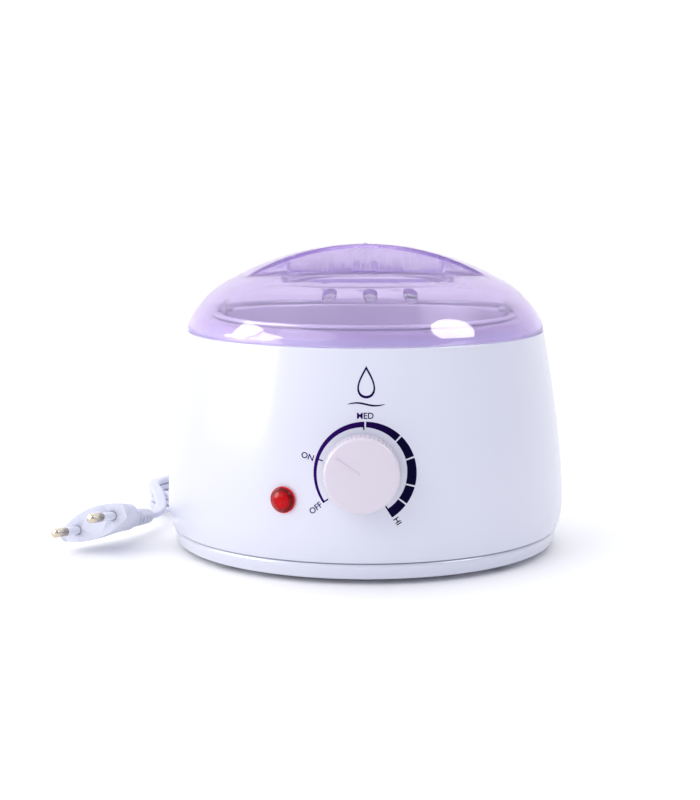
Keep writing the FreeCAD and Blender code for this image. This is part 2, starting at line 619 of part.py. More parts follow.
def finger_wells(grow):
    """A shallow well sunk in each ledge, with quarter-round ends, that leaves a thin lip in front."""
    floor, end_x, rise, run = LEDGE_Z - WELL_DEEP - grow, WELL_HALF + grow, WELL_DEEP, WELL_END
    up = floor + rise
    outline = Part.Wire([
        arc(V(-end_x - run, 0, up), V(-end_x - run * 0.4, 0, up - rise * 0.28), V(-end_x, 0, floor)),
        *lines(V(-end_x, 0, floor), V(end_x, 0, floor)),
        arc(V(end_x, 0, floor), V(end_x + run * 0.4, 0, up - rise * 0.28), V(end_x + run, 0, up)),
        *lines(V(end_x + run, 0, up), V(end_x + run, 0, 150), V(-end_x - run, 0, 150), V(-end_x - run, 0, up))])
    return hollowed_side(Part.Face(outline).extrude(V(0, -WELL_REACH - grow, 0)), grow)


def lid():
    """Clear violet lid: domed crown, two finger ledges with a hollow grip between, and vents."""
    outside = dome(0, LID_BOTTOM).cut([*finger_ledges(0), *finger_wells(0)])
    inside = dome(LID_WALL, LID_BOTTOM).cut([*finger_ledges(LID_WALL), *finger_wells(LID_WALL)])
    shell = outside.cut(inside)
    vents = [rod(polar(VENT_RING_R, side + VENT_TURN * i, 100), polar(VENT_RING_R, side + VENT_TURN * i, 140),
                 VENT_R) for side in (-90, 90) for i in (-1, 0, 1)]
    nub = ring(0.9, 0, DOME_TOP - 0.4, DOME_TOP + 0.3)
    shell = fuse(shell.cut(vents), nub)
    shell.rotate(V(0, 0, 0), Z_AXIS, LID_TURN)
    return shell


# ---- lead, hank and plug -----------------------------------------------------------------
RELIEF_LEN = 20.0
WALL_BACK_Y = 87.6
RELIEF_END = V(0, WALL_BACK_Y + RELIEF_LEN, EXIT_Z)
ALONG = V(HANK_DIR[0], HANK_DIR[1], 0)
ACROSS = V(-HANK_DIR[1], HANK_DIR[0], 0)          # towards the far side of the hank
NEAR_FOLD = V(HANK_START[0], HANK_START[1], 0)
FAR_FOLD = NEAR_FOLD + ALONG * HANK_RUN
HANK_TOP = HANK_FLOOR + HANK_PITCH * (HANK_TURNS + 1.34)

PLUG_FACE = V(-116.5, -31.0, 14.0)
PLUG_OUT = V(-0.36, -0.92, 0.13)
PLUG_OUT.normalize()
PLUG_ROLL = 24.0
PLUG_LEN, PLUG_W, PLUG_T = 27.0, 32.0, 13.4
PLUG_RELIEF = 20.0

LEAD_ROUTE = [RELIEF_END, V(0, 114.6, 16), V(-0.34, 121.4, 14.54), V(-1.02, 127.8, 11.7), V(-1.99, 133.4, 7.6),
              V(-2.66, 139.7, 4.75), V(-3.0, 146.6, 3.3), V(-3.0, 153.6, 3.3)]
TAIL_START = V(-101.25, 61.8, HANK_TOP - CORD_D / 2)


def strain_relief(length, big, small, ribs):
    """A ribbed taper drawn along +Z from its thick end."""
    body = turned(*lines(rz(0, 0), rz(big, 0), rz(small, length), rz(0, length), rz(0, 0)))
    step = length / (ribs + 1)
    grooves = []
    for i in range(1, ribs + 1):
        z = i * step
        r = big + (small - big) * z / length
        for half in (0, 180):
            cut = ring(big + 1, r - 0.7, z - 0.8, z + 0.8)
            cut = cut.common(box(-12, 12, 0.9, 12, z - 1, z + 1))
            cut.rotate(V(0, 0, 0), Z_AXIS, half)
            grooves.append(cut)
    return body.cut(grooves)


def cord_strain_relief():
    """Moulded outlet: flange inside the wall, neck through it and a tapered tail outside."""
    tail = strain_relief(RELIEF_LEN, 5.6, 3.4, 5)
    collar = ring(6.8, 0, 0, 1.4)
    neck = ring(4.9, 0, -4.8, 0)
    flange = ring(6.6, 0, -6.0, -4.8)
    relief = fuse(tail, collar, neck, flange)
    relief.rotate(V(0, 0, 0), X_AXIS, -90)
    return relief.translated(V(0, WALL_BACK_Y, EXIT_Z))


def hank_ring(width, z0, z1):
    """A stadium of the given width about the hank's line, as a solid."""
    slab = box(0, HANK_RUN, -width, width, z0, z1)
    round_a = ring(width, 0, z0, z1)
    solid = fuse(slab, round_a, round_a.translated(V(HANK_RUN, 0, 0)))
    solid.rotate(V(0, 0, 0), Z_AXIS, math.degrees(math.atan2(HANK_DIR[1], HANK_DIR[0])))
    return solid.translated(NEAR_FOLD)


def cord_hank():
    """The wound length of lead, as the outside of its turns."""
    outer = hank_ring(HANK_FOLD_R + CORD_D / 2, HANK_FLOOR, HANK_TOP)
    return outer.cut(hank_ring(HANK_FOLD_R - CORD_D / 2, HANK_FLOOR - 1, HANK_TOP + 1))


def cord_tie():
    """Flat band round both sides of the hank."""
    half, t = HANK_FOLD_R + CORD_D / 2, 0.6
    band = box(-3.5, 3.5, -half - t, half + t, HANK_FLOOR - t, HANK_TOP + t)
    band = band.cut(box(-4, 4, -half, half, HANK_FLOOR, HANK_TOP))
    band.rotate(V(0, 0, 0), Z_AXIS, math.degrees(math.atan2(HANK_DIR[1], HANK_DIR[0])))
    return band.translated(NEAR_FOLD + ALONG * (HANK_RUN * 0.52))


def on_plug_axis(shape):
    """Move a shape drawn along +Z, pins up and wide way along X, to the plug's place."""
    side = Z_AXIS.cross(PLUG_OUT)
    side.normalize()
    wide = FreeCAD.Rotation(side, PLUG_OUT.cross(side), PLUG_OUT, "ZXY")
    return moved(shape, PLUG_FACE, wide.multiply(FreeCAD.Rotation(Z_AXIS, PLUG_ROLL)))


def lens_outline(width, thick, z):
    """Flat-sided oval: two wide arcs and two small end arcs."""
    w, t, end = width / 2, thick / 2, thick * 0.22
    return Part.Wire([arc(V(-w, -end, z), V(0, -t, z), V(w, -end, z)),
                      arc(V(w, -end, z), V(w + end * 0.8, 0, z), V(w, end, z)),
                      arc(V(w, end, z), V(0, t, z), V(-w, end, z)),
                      arc(V(-w, end, z), V(-w - end * 0.8, 0, z), V(-w, -end, z))])


def plug_body():
    """Flat two-pin plug: lens-shaped face, waisted grip and a narrow end for the lead."""
    sections = [lens_outline(PLUG_W, PLUG_T, 0), lens_outline(PLUG_W * 0.97, PLUG_T * 0.97, -6),
                lens_outline(PLUG_W * 0.66, PLUG_T * 0.84, -16), lens_outline(PLUG_W * 0.42, PLUG_T * 0.78, -PLUG_LEN)]
    body = Part.makeLoft(sections, True, False)
    wells = [ring(2.0, 0, -4, 1).translated(V(s * PIN_X, 0, 0)) for s in (-1, 1)]
    return on_plug_axis(body.cut(wells))


PIN_X, PIN_R, SLEEVE_R = 9.3, 2.0, 1.8
PIN_LEN, SLEEVE_LEN = 19.0, 10.0


def plug_pins():
    """Two round contact pins with domed tips."""
    pin = turned(*lines(rz(0, -4), rz(1.5, -4), rz(1.5, SLEEVE_LEN), rz(PIN_R, SLEEVE_LEN),
                        rz(PIN_R, PIN_LEN - 1)),
                 cap(PIN_R, PIN_LEN - 1, 1), *lines(rz(0, PIN_LEN), rz(0, -4)))
    return Part.makeCompound([on_plug_axis(pin.translated(V(s * PIN_X, 0, 0))) for s in (-1, 1)])


def pin_sleeves():
    """Plastic sleeves on the inner half of the pins."""
    sleeve = ring(SLEEVE_R, 1.5, 0, SLEEVE_LEN)
    return Part.makeCompound([on_plug_axis(sleeve.translated(V(s * PIN_X, 0, 0))) for s in (-1, 1)])


def plug_strain_relief():
    taper = strain_relief(PLUG_RELIEF, 4.6, 3.4, 5)
    taper.rotate(V(0, 0, 0), X_AXIS, 180)
    return on_plug_axis(taper.translated(V(0, 0, -PLUG_LEN)))


TAIL_END = PLUG_FACE - PLUG_OUT * (PLUG_LEN + PLUG_RELIEF)
TAIL_ROUTE = [TAIL_START, V(-100.1, 53.4, 12.3), V(-97.8, 45.2, 10.75), V(-95.8, 37.0, 8.9), V(-95.3, 28.5, 7.4),
              V(-96.6, 20.2, 6.95), TAIL_END]


# ---- write every piece -------------------------------------------------------------------
save(outer_housing(), "outer_housing")
save(collar_ring(), "collar_ring")
save(base_plate(), "base_plate")
save(base_feet(), "base_feet")
save(base_screws(), "base_screws")
save(heater_bowl(), "heater_bowl")
save(bowl_gasket(), "bowl_gasket")
save(heating_band(), "heating_band")
save(band_clamp(), "band_clamp")
save(band_clamp_screw(), "band_clamp_screw")
save(insulation_sleeve(), "insulation_sleeve")
save(bowl_brackets(), "bowl_brackets")
save(bracket_screws(), "bracket_screws")
save(thermostat_bracket(), "thermostat_bracket")
save(thermostat_body(), "thermostat_body")
save(thermostat_terminals(), "thermostat_terminals")
save(thermostat_nut(), "thermostat_nut")
save(thermostat_shaft(), "thermostat_shaft")
save(control_knob(), "control_knob")
save(indicator_lens(), "indicator_lens")
save(lamp_clip(), "lamp_clip")
save(neon_lamp(), "neon_lamp")
save(terminal_block(), "terminal_block")
save(terminal_screws(), "terminal_screws")
save(thermal_fuse(), "thermal_fuse")
for wire_node in WIRES:
    save(wire(wire_node), wire_node)
save(cord_clamp(), "cord_clamp")
save(cord_clamp_screws(), "cord_clamp_screws")
save(inner_pot(), "inner_pot")
save(pot_ears(), "pot_ears")
save(ear_rivets(), "ear_rivets")
save(bail_handle(), "bail_handle")
save(bail_grip(), "bail_grip")
save(lid(), "lid")
save(cord_strain_relief(), "cord_strain_relief")
save(tube_along(LEAD_ROUTE, CORD_D / 2, "cord_lead"), "cord_lead")
save(cord_hank(), "cord_hank")
save(tube_along(TAIL_ROUTE, CORD_D / 2, "cord_tail"), "cord_tail")
save(cord_tie(), "cord_tie")
save(plug_body(), "plug_body")
save(plug_pins(), "plug_pins")
save(pin_sleeves(), "pin_sleeves")
save(plug_strain_relief(), "plug_strain_relief")
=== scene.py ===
# %% [markdown]
# # An electric wax warmer pot
# A salon wax warmer: a white moulded housing that leans in towards the top, a violet lid with a finger
# grip, a dial with a printed scale, a red lamp and a wound lead with a two-pin plug. Each step below says
# what the piece is on the real thing, how it could be made, and why this way was chosen.

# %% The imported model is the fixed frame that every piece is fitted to
import json
import math

import bmesh
import bpy
import numpy as np
from mathutils import Matrix, Vector, geometry

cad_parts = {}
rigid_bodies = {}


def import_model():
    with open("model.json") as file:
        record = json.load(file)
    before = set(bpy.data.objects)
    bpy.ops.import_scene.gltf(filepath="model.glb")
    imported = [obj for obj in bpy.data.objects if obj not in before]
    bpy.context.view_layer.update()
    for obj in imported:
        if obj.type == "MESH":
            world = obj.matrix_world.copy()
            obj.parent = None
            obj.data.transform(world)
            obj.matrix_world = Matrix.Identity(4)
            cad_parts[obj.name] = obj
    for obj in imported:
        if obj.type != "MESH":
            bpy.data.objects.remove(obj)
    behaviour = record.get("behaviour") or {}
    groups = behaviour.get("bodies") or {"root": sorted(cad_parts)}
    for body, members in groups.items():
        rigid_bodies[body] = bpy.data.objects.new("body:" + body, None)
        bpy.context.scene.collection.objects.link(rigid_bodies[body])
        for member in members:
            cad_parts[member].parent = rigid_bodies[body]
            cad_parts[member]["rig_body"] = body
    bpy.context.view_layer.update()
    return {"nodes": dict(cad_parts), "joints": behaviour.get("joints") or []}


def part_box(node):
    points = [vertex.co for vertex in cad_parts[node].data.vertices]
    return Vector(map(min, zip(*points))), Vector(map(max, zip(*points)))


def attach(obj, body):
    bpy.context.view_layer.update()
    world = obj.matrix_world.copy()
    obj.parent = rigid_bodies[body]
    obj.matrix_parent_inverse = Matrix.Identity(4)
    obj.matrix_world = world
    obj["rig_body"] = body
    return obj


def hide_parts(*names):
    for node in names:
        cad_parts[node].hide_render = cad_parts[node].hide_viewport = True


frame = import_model()
nodes = frame["nodes"]

# %% [markdown]
# ## Helpers
# Round pieces are turned on a lathe or spun, so most of them are one outline swept about the upright
# axis. A small lathe function with a fine step keeps them round at any zoom. Outlines are written in
# millimetres, as a maker would, and become metres when the mesh is made.

# %% Outlines: straight points and arcs through three points, in millimetres
MM = 0.001


def circle_through(a, b, c):
    """Centre and radius of the circle through three points of an outline."""
    (ax, ay), (bx, by), (cx, cy) = a, b, c
    a2, b2, c2 = ax * ax + ay * ay, bx * bx + by * by, cx * cx + cy * cy
    d = 2 * (ax * (by - cy) + bx * (cy - ay) + cx * (ay - by))
    ux = (a2 * (by - cy) + b2 * (cy - ay) + c2 * (ay - by)) / d
    uy = (a2 * (cx - bx) + b2 * (ax - cx) + c2 * (bx - ax)) / d
    return ux, uy, math.hypot(ax - ux, ay - uy)


def bow(a, mid, b, steps=10):
    """Points of the arc from a over mid to b."""
    ux, uy, radius = circle_through(a, mid, b)
    t0, tm, t1 = (math.atan2(p[1] - uy, p[0] - ux) for p in (a, mid, b))
    sweep = (t1 - t0) % math.tau
    if (tm - t0) % math.tau > sweep:
        sweep -= math.tau
    return [(ux + radius * math.cos(t0 + sweep * i / steps), uy + radius * math.sin(t0 + sweep * i / steps))
            for i in range(steps + 1)]


def outline(*parts):
    """One list of points from single points and lists of points, without repeats."""
    points = []
    for part in parts:
        for p in (part if isinstance(part, list) else [part]):
            if not points or math.dist(points[-1], p) > 1e-6:
                points.append(p)
    return points


# %% Meshes: a piece from points and faces, with creases only where it is really sharp
def in_scene(name, data):
    """A new object of a mesh, curve, camera or light, linked to the scene."""
    obj = bpy.data.objects.new(name, data)
    bpy.context.scene.collection.objects.link(obj)
    return obj


def piece(name, verts, faces, crease=35, merge=1e-7):
    """A mesh object at the origin, closed, facing outwards and smooth but for its creases."""
    mesh = bpy.data.meshes.new(name)
    mesh.from_pydata([tuple(v) for v in verts], [], faces)
    return welded(in_scene(name, mesh), crease, merge)


def welded(obj, crease=35, merge=1e-7, turn_out=True):
    """Doubles merged, slivers gone, smooth up to the crease angle in degrees."""
    bm = bmesh.new()
    bm.from_mesh(obj.data)
    bmesh.ops.remove_doubles(bm, verts=bm.verts, dist=merge)
    bmesh.ops.dissolve_degenerate(bm, edges=bm.edges, dist=1e-9)
    if turn_out:
        bmesh.ops.recalc_face_normals(bm, faces=bm.faces)
    bm.to_mesh(obj.data)
    bm.free()
    obj.data.shade_smooth()
    obj.data.set_sharp_from_angle(angle=math.radians(crease))
    return obj


def side_faces(rings, count):
    """Faces between neighbouring rings of count points each."""
    turned = [(i, (i + 1) % count) for i in range(count)]
    return [(k * count + i, k * count + j, (k + 1) * count + j, (k + 1) * count + i)
            for k in range(rings - 1) for i, j in turned]


def lathe(name, points, steps=256, crease=35):
    """A closed outline of (radius, height) in millimetres, swept about the upright axis."""
    turn = [math.tau * i / steps for i in range(steps)]
    verts = [(r * math.cos(t) * MM, r * math.sin(t) * MM, z * MM) for r, z in points for t in turn]
    faces = []
    for k in range(len(points)):
        k2 = (k + 1) % len(points)
        if points[k][0] < 1e-6 and points[k2][0] < 1e-6:
            continue
        for i in range(steps):
            j = (i + 1) % steps
            faces.append((k * steps + i, k * steps + j, k2 * steps + j, k2 * steps + i))
    return piece(name, verts, faces, crease)


def placed(obj, matrix):
    """Move a piece by moving its mesh, so that its object stays at the origin."""
    obj.data.transform(matrix)
    obj.data.update()
    return obj


def join_pieces(first, *rest):
    """Several pieces as one, keeping their smooth faces."""
    bm = bmesh.new()
    for obj in (first, *rest):
        bm.from_mesh(obj.data)
    bm.to_mesh(first.data)
    bm.free()
    for obj in rest:
        bpy.data.objects.remove(obj)
    return first


def evaluated_mesh(obj):
    """The mesh that an object's modifiers, spline or letters make."""
    bpy.context.view_layer.update()
    return bpy.data.meshes.new_from_object(obj.evaluated_get(bpy.context.evaluated_depsgraph_get()))


def plain_mesh(obj):
    """What the modifiers make of a piece, as its plain mesh, with the modifiers gone."""
    mesh = evaluated_mesh(obj)
    obj.modifiers.clear()
    obj.data = mesh
    return obj


def carve(obj, cutter):
    """Take the cutter's room out of a piece."""
    cut = obj.modifiers.new("cut", "BOOLEAN")
    cut.operation, cut.object, cut.solver = "DIFFERENCE", cutter, "EXACT"
    plain_mesh(obj)
    bpy.data.objects.remove(cutter)
    return obj


# %% [markdown]
# ## Materials
# Everything here is moulded plastic, spun or pressed metal, or soft PVC. A real moulded face is never a
# single flat colour: it has a very faint ripple from the mould, small changes in gloss, and sometimes a
# slight cloud in its colour. Each finish is a short function that starts from the typical values of its
# material. Colours are written as the sRGB values that a maker would quote and turned to linear once.

# %% Colour and nodes
def srgb(code):
    """A colour such as "#E8E6F2" as linear red, green, blue and alpha."""
    parts = [int(code[i:i + 2], 16) / 255 for i in (1, 3, 5)]
    return (*[c / 12.92 if c <= 0.04045 else ((c + 0.055) / 1.055) ** 2.4 for c in parts], 1.0)


def add(tree, kind, links=(), **settings):
    """One node: sockets and properties by name, then links as (from socket, to socket name)."""
    made = tree.nodes.new(kind)
    for key, value in settings.items():
        name = key.replace("_", " ")
        socket = next((s for s in made.inputs if s.name.lower() == name.lower()), None)
        if socket is None:
            setattr(made, key, value)
        else:
            socket.default_value = value
    for source, target in links:
        socket = made.inputs[target]
        tree.links.new(source, socket)
    return made


def blank(name):
    """A new material, and its node tree with nothing in it yet."""
    material = bpy.data.materials.new(name)
    material.use_nodes = True
    material.node_tree.nodes.clear()
    return material, material.node_tree


def two_colours(tree, share, first, second):
    """A mix of two colours by a share from 0 to 1."""
    mix = add(tree, "ShaderNodeMix", [(share, "Factor")], data_type="RGBA")
    mix.inputs[6].default_value, mix.inputs[7].default_value = first, second
    return mix.outputs[2]


def skin_on(tree, tint, bump, links=(), **shader):
    """The Principled shader with a colour and a bump pattern, on the material's output."""
    skin = add(tree, "ShaderNodeBsdfPrincipled",
               [(tint, "Base Color"), (bump.outputs["Normal"], "Normal"), *links], **shader)
    add(tree, "ShaderNodeOutputMaterial", [(skin.outputs["BSDF"], "Surface")])


CLOUD_MM = 22   # the size of the slow drift in a moulding's colour and gloss


def finish_of(name, colour, roughness, grain_mm, ripple, cloud=0.03, gloss_change=0.06, **shader):
    """A moulded or cast finish: grain_mm is the ripple's real size, cloud how far its colour drifts."""
    material, tree = blank(name)
    place = add(tree, "ShaderNodeTexCoord").outputs["Object"]
    fine = add(tree, "ShaderNodeTexNoise", [(place, "Vector")], Scale=1 / (grain_mm * MM), Detail=3.0)
    broad = add(tree, "ShaderNodeTexNoise", [(place, "Vector")], Scale=1 / (CLOUD_MM * MM), Detail=2.0)
    base = srgb(colour)
    darker = (*[c * (1 - cloud) for c in base[:3]], 1.0)
    tint = two_colours(tree, broad.outputs["Fac"], base, darker)
    gloss = add(tree, "ShaderNodeMapRange", [(broad.outputs["Fac"], "Value")],
                To_Min=max(0.0, roughness - gloss_change / 2), To_Max=roughness + gloss_change / 2)
    bump = add(tree, "ShaderNodeBump", [(fine.outputs["Fac"], "Height")], Strength=ripple, Distance=0.1 * MM)
    skin_on(tree, tint, bump, [(gloss.outputs["Result"], "Roughness")], **shader)
    return material


# %% The plastics, rubbers and ceramics, by their common names
gloss_abs = finish_of("white ABS, gloss moulded", "#DFE0ED", 0.24, 1.6, 0.05, 0.012, 0.05, IOR=1.53)
satin_abs = finish_of("white ABS, satin dial cap", "#DAD2DE", 0.38, 0.6, 0.10, 0.02, 0.08, IOR=1.53)
soft_pvc = finish_of("white PVC lead, extruded", "#D3D5E8", 0.42, 0.8, 0.12, 0.03, 0.10, IOR=1.52)
plug_pvc = finish_of("white PVC plug, fine spark finish", "#D6D8E8", 0.45, 0.35, 0.22, 0.02, 0.08, IOR=1.52)
sleeve_pa = finish_of("white nylon pin sleeve", "#DDE0EC", 0.35, 0.5, 0.08, 0.03, 0.06, IOR=1.52)
foot_rubber = finish_of("grey EPDM rubber foot", "#C9C9CD", 0.75, 0.5, 0.35, 0.06, 0.10, IOR=1.52)
silicone = finish_of("grey silicone seal", "#8B8B8F", 0.55, 0.7, 0.15, 0.05, 0.08, IOR=1.43)
nylon = finish_of("natural nylon 66", "#DEDCCF", 0.42, 0.5, 0.15, 0.05, 0.08, IOR=1.53)
steatite = finish_of("steatite ceramic, pressed", "#DAD2C2", 0.62, 0.3, 0.30, 0.06, 0.10, IOR=1.57)
brown_pvc = finish_of("brown PVC insulation", "#5A3522", 0.4, 0.6, 0.10, 0.06, 0.08, IOR=1.52)
blue_pvc = finish_of("blue PVC insulation", "#2C55A0", 0.4, 0.6, 0.10, 0.06, 0.08, IOR=1.52)
grip_nylon = finish_of("white glass-filled nylon grip", "#E9E8F0", 0.45, 0.4, 0.20, 0.03, 0.10, IOR=1.53)
tie_nylon = finish_of("white nylon tie", "#E6E6F0", 0.4, 0.5, 0.12, 0.03, 0.08, IOR=1.53)


# %% Metals: spun aluminium keeps the tool's rings, pressed steel its rolled grain
STAIN_MM = 15   # the size of the patches where a metal is a little duller


def metal_of(name, colour, roughness, ring_mm, depth, worn=0.10):
    """A metal with fine rings about the upright axis, or a fine grain where ring_mm is small."""
    material, tree = blank(name)
    place = add(tree, "ShaderNodeTexCoord").outputs["Object"]
    apart = add(tree, "ShaderNodeSeparateXYZ", [(place, "Vector")])
    flat = add(tree, "ShaderNodeCombineXYZ", [(apart.outputs["X"], "X"), (apart.outputs["Y"], "Y")])
    out = add(tree, "ShaderNodeVectorMath", [(flat.outputs["Vector"], "Vector")], operation="LENGTH")
    rings = add(tree, "ShaderNodeCombineXYZ", [(out.outputs["Value"], "X"), (apart.outputs["Z"], "Z")])
    lines = add(tree, "ShaderNodeTexNoise", [(rings.outputs["Vector"], "Vector")],
                Scale=1 / (ring_mm * MM), Detail=2.0)
    broad = add(tree, "ShaderNodeTexNoise", [(place, "Vector")], Scale=1 / (STAIN_MM * MM), Detail=3.0)
    base = srgb(colour)
    duller = (*[c * (1 - worn) for c in base[:3]], 1.0)
    tint = two_colours(tree, broad.outputs["Fac"], base, duller)
    gloss = add(tree, "ShaderNodeMapRange", [(lines.outputs["Fac"], "Value")],
                To_Min=roughness * 0.8, To_Max=roughness * 1.25)
    bump = add(tree, "ShaderNodeBump", [(lines.outputs["Fac"], "Height")], Strength=depth, Distance=0.05 * MM)
    skin_on(tree, tint, bump, [(gloss.outputs["Result"], "Roughness")], Metallic=1.0)
    return material


spun_aluminium = metal_of("aluminium, spun", "#F4F4F7", 0.46, 0.8, 0.35)
zinc_steel = metal_of("steel, bright zinc plated", "#BFC1C6", 0.34, 0.5, 0.20)
brass = metal_of("brass, stamped", "#D6B36A", 0.30, 0.5, 0.15)
nickel_pin = metal_of("brass pin, nickel plated", "#D8CDB8", 0.18, 0.4, 0.08)
mica_band = finish_of("mica band heater", "#9A7F54", 0.5, 2.5, 0.30, 0.25, 0.15, IOR=1.58)
glass_felt = finish_of("glass-fibre felt", "#D7D2C2", 0.9, 0.7, 0.9, 0.15, 0.05, IOR=1.5, Sheen_Weight=0.3)
print(len(bpy.data.materials), "materials so far")

# %% [markdown]
# ## Camera
# The pot is seen from in front and a little above, with a moderate telephoto lens, which keeps its round
# outlines calm. The camera stands three quarters of a metre away and looks down by about eight degrees.

# %% The camera: lens and sensor in millimetres, turns in radians
LENS, SENSOR = 76.75, 36.0
LOOK_DOWN, LOOK_LEFT = 0.143, 0.009
eye = bpy.data.cameras.new("camera")
eye.lens, eye.sensor_width = LENS, SENSOR
camera = in_scene("camera", eye)
camera.location = (0.0, -0.750, 0.1712)
camera.rotation_euler = (math.pi / 2 - LOOK_DOWN, 0.0, LOOK_LEFT)
bpy.context.scene.camera = camera
bpy.context.scene.view_settings.view_transform = "Standard"

# %% [markdown]
# ## The lead
# A flat two-core PVC lead leaves the back through a ribbed outlet, drops to the table, and the rest of it is
# wound into a hank that a nylon tie holds. It could be a round bevelled curve, but a flat lead shows its
# groove and its stacked turns, so a small section is swept along points read from one smooth spline. The
# turns of the hank are worked out by a loop; the free ends are listed point by point.

# %% The route: out of the wall, down to the table, round the hank and on to the plug
LEAD_WIDE, LEAD_THICK = 5.2 * MM, 3.2 * MM
FOLD_R = 15.6
NEAR_FOLD = Vector((-85.8, 64.0))
ALONG = Vector((0.6, 0.8))
FAR_FOLD = NEAR_FOLD + ALONG * 112.0
HANK_TURNS, HANK_END = 3, 8        # whole turns, and the stops of the last part turn
HANK_LOW, TURN_RISE = 1.65, 3.25   # height of the first turn's line, and how far each turn lies above the last
LOOSE, FOLD_PULL = 0.45, 1.13      # how far the turns wander, and how far a fold's points stand out
lead_in = [(0, 100.6, 16), (0, 107.6, 16), (0, 114.6, 16), (-0.34, 121.4, 14.5), (-1.02, 127.8, 11.6),
           (-1.99, 133.4, 7.0), (-2.66, 139.7, 3.5), (-3.0, 146.6, 1.8)]
lead_out = [(-100.1, 53.4, 12.2), (-97.8, 45.2, 10.7), (-95.8, 37.0, 8.9), (-95.3, 28.5, 7.4),
            (-96.6, 20.2, 6.95), (-99.5, 12.4, 7.9), (-101.6, 7.0, 8.6)]


def hank_points():
    """Turn by turn: five points round each fold and two along each side, rising all the way."""
    lean = math.degrees(math.atan2(ALONG.y, ALONG.x)) - 90
    stops = [(FAR_FOLD, lean + 45 * i) for i in range(5)]
    stops += [(None, 1 / 3), (None, 2 / 3)]
    stops += [(NEAR_FOLD, lean + 180 + 45 * i) for i in range(5)]
    stops += [(None, 4 / 3), (None, 5 / 3)]
    points = []
    for k in range(1, len(stops) * HANK_TURNS + HANK_END + 1):
        fold, value = stops[k % len(stops)]
        turn = k / len(stops)
        loose = LOOSE * math.sin(2.4 * turn + 0.7)
        if fold is None:
            side = -1 if value < 1 else 1
            share = value if value < 1 else 2 - value
            across = Vector((-ALONG.y, ALONG.x)) * (FOLD_R + loose) * (-side)
            at = FAR_FOLD + (NEAR_FOLD - FAR_FOLD) * share + across
        else:
            angle = math.radians(value)
            at = fold + Vector((math.cos(angle), math.sin(angle))) * (FOLD_R + loose) * FOLD_PULL
        points.append((at.x, at.y, HANK_LOW + TURN_RISE * (turn - 1 / len(stops))))
    return points


route = [Vector(p) * MM for p in lead_in + hank_points() + lead_out]
print(len(route), "points on the lead's route")

# %% The spline, and the points of its line
line = bpy.data.curves.new("lead line", "CURVE")
line.dimensions = "3D"
spline = line.splines.new("NURBS")
spline.points.add(len(route) - 1)
for point, at in zip(spline.points, route):
    point.co = (*at, 1.0)
spline.order_u = 3
spline.use_endpoint_u = True
line.resolution_u = 5
line_piece = in_scene("lead line", line)
lead_path = [v.co.copy() for v in evaluated_mesh(line_piece).vertices]
bpy.data.objects.remove(line_piece)


# %% A figure-of-eight section: two insulated cores side by side with a groove between them
def lead_section(steps=9):
    """Points round the lead, in metres; each core keeps a little over half of its circle."""
    core = LEAD_THICK / 2
    shift = LEAD_WIDE / 2 - core
    right = [(shift + core * math.cos(t), core * math.sin(t))
             for t in np.linspace(-0.62 * math.pi, 0.62 * math.pi, steps)]
    return right + [(-x, -y) for x, y in right]


def swept(name, path, section, crease=50):
    """The section carried along the path, kept level, with both ends closed."""
    verts, rings, count = [], len(path), len(section)
    for i, at in enumerate(path):
        ahead = (path[min(i + 1, rings - 1)] - path[max(i - 1, 0)]).normalized()
        side = ahead.cross(Vector((0, 0, 1))).normalized()
        up = side.cross(ahead)
        verts += [at + side * x + up * y for x, y in section]
    ends = [tuple(range(count)), tuple(reversed(range((rings - 1) * count, rings * count)))]
    return piece(name, verts, side_faces(rings, count) + ends, crease)


lead = swept("power_lead", lead_path, lead_section())
lead.data.materials.append(soft_pvc)
print("lead mesh", len(lead.data.polygons), "faces")


# %% [markdown]
# Most small fittings already have their true shape in the solid model. A copy of each is welded and given
# smooth faces and its finish, which is enough for screws, clips, brackets, wires and the plug's parts.

# %% Welded copies of the solid model's small pieces
def fine_copy(node, material, crease=28):
    """A copy of a solid node's mesh that takes its place, rides its body and wears a finish."""
    mesh = nodes[node].data.copy()
    obj = in_scene(node + "_fine", mesh)
    mesh.materials.clear()
    mesh.materials.append(material)
    for face in mesh.polygons:
        face.material_index = 0
    welded(obj, crease, 2e-6, turn_out=False)
    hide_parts(node)
    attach(obj, nodes[node]["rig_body"])
    return obj


plug_pieces = [fine_copy(n, m) for n, m in (
    ("plug_body", plug_pvc), ("plug_pins", nickel_pin), ("pin_sleeves", sleeve_pa),
    ("plug_strain_relief", plug_pvc), ("cord_strain_relief", soft_pvc), ("cord_tie", tie_nylon))]
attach(lead, "housing")
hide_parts("cord_lead", "cord_hank", "cord_tail")

# %% [markdown]
# ## Housing
# The housing is one injection moulding in gloss white: a rounded foot, a wall that leans in, a flat
# shoulder and a collar that the lid slips over. It is a body of revolution, so its outline is turned.

# %% The housing's outline from the outside foot up, and back down inside
WALL = 2.4
housing_low, housing_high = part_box("outer_housing")
FOOT_Z, COLLAR_TOP = housing_low.z / MM, housing_high.z / MM
BELLY_R = housing_high.x / MM
wall_z = [21.0, 38.0, 55.0, 76.0, 95.1]
wall_r = [BELLY_R, BELLY_R - 0.8, BELLY_R - 2.6, BELLY_R - 5.8, BELLY_R - 9.1]
wall_curve = np.polyfit(wall_z, wall_r, 4)
SHOULDER_Z, COLLAR_R = 95.1, 73.8


def wall_radius(z):
    """Radius of the leaning wall's outside at a height, in millimetres."""
    return float(np.polyval(wall_curve, z))


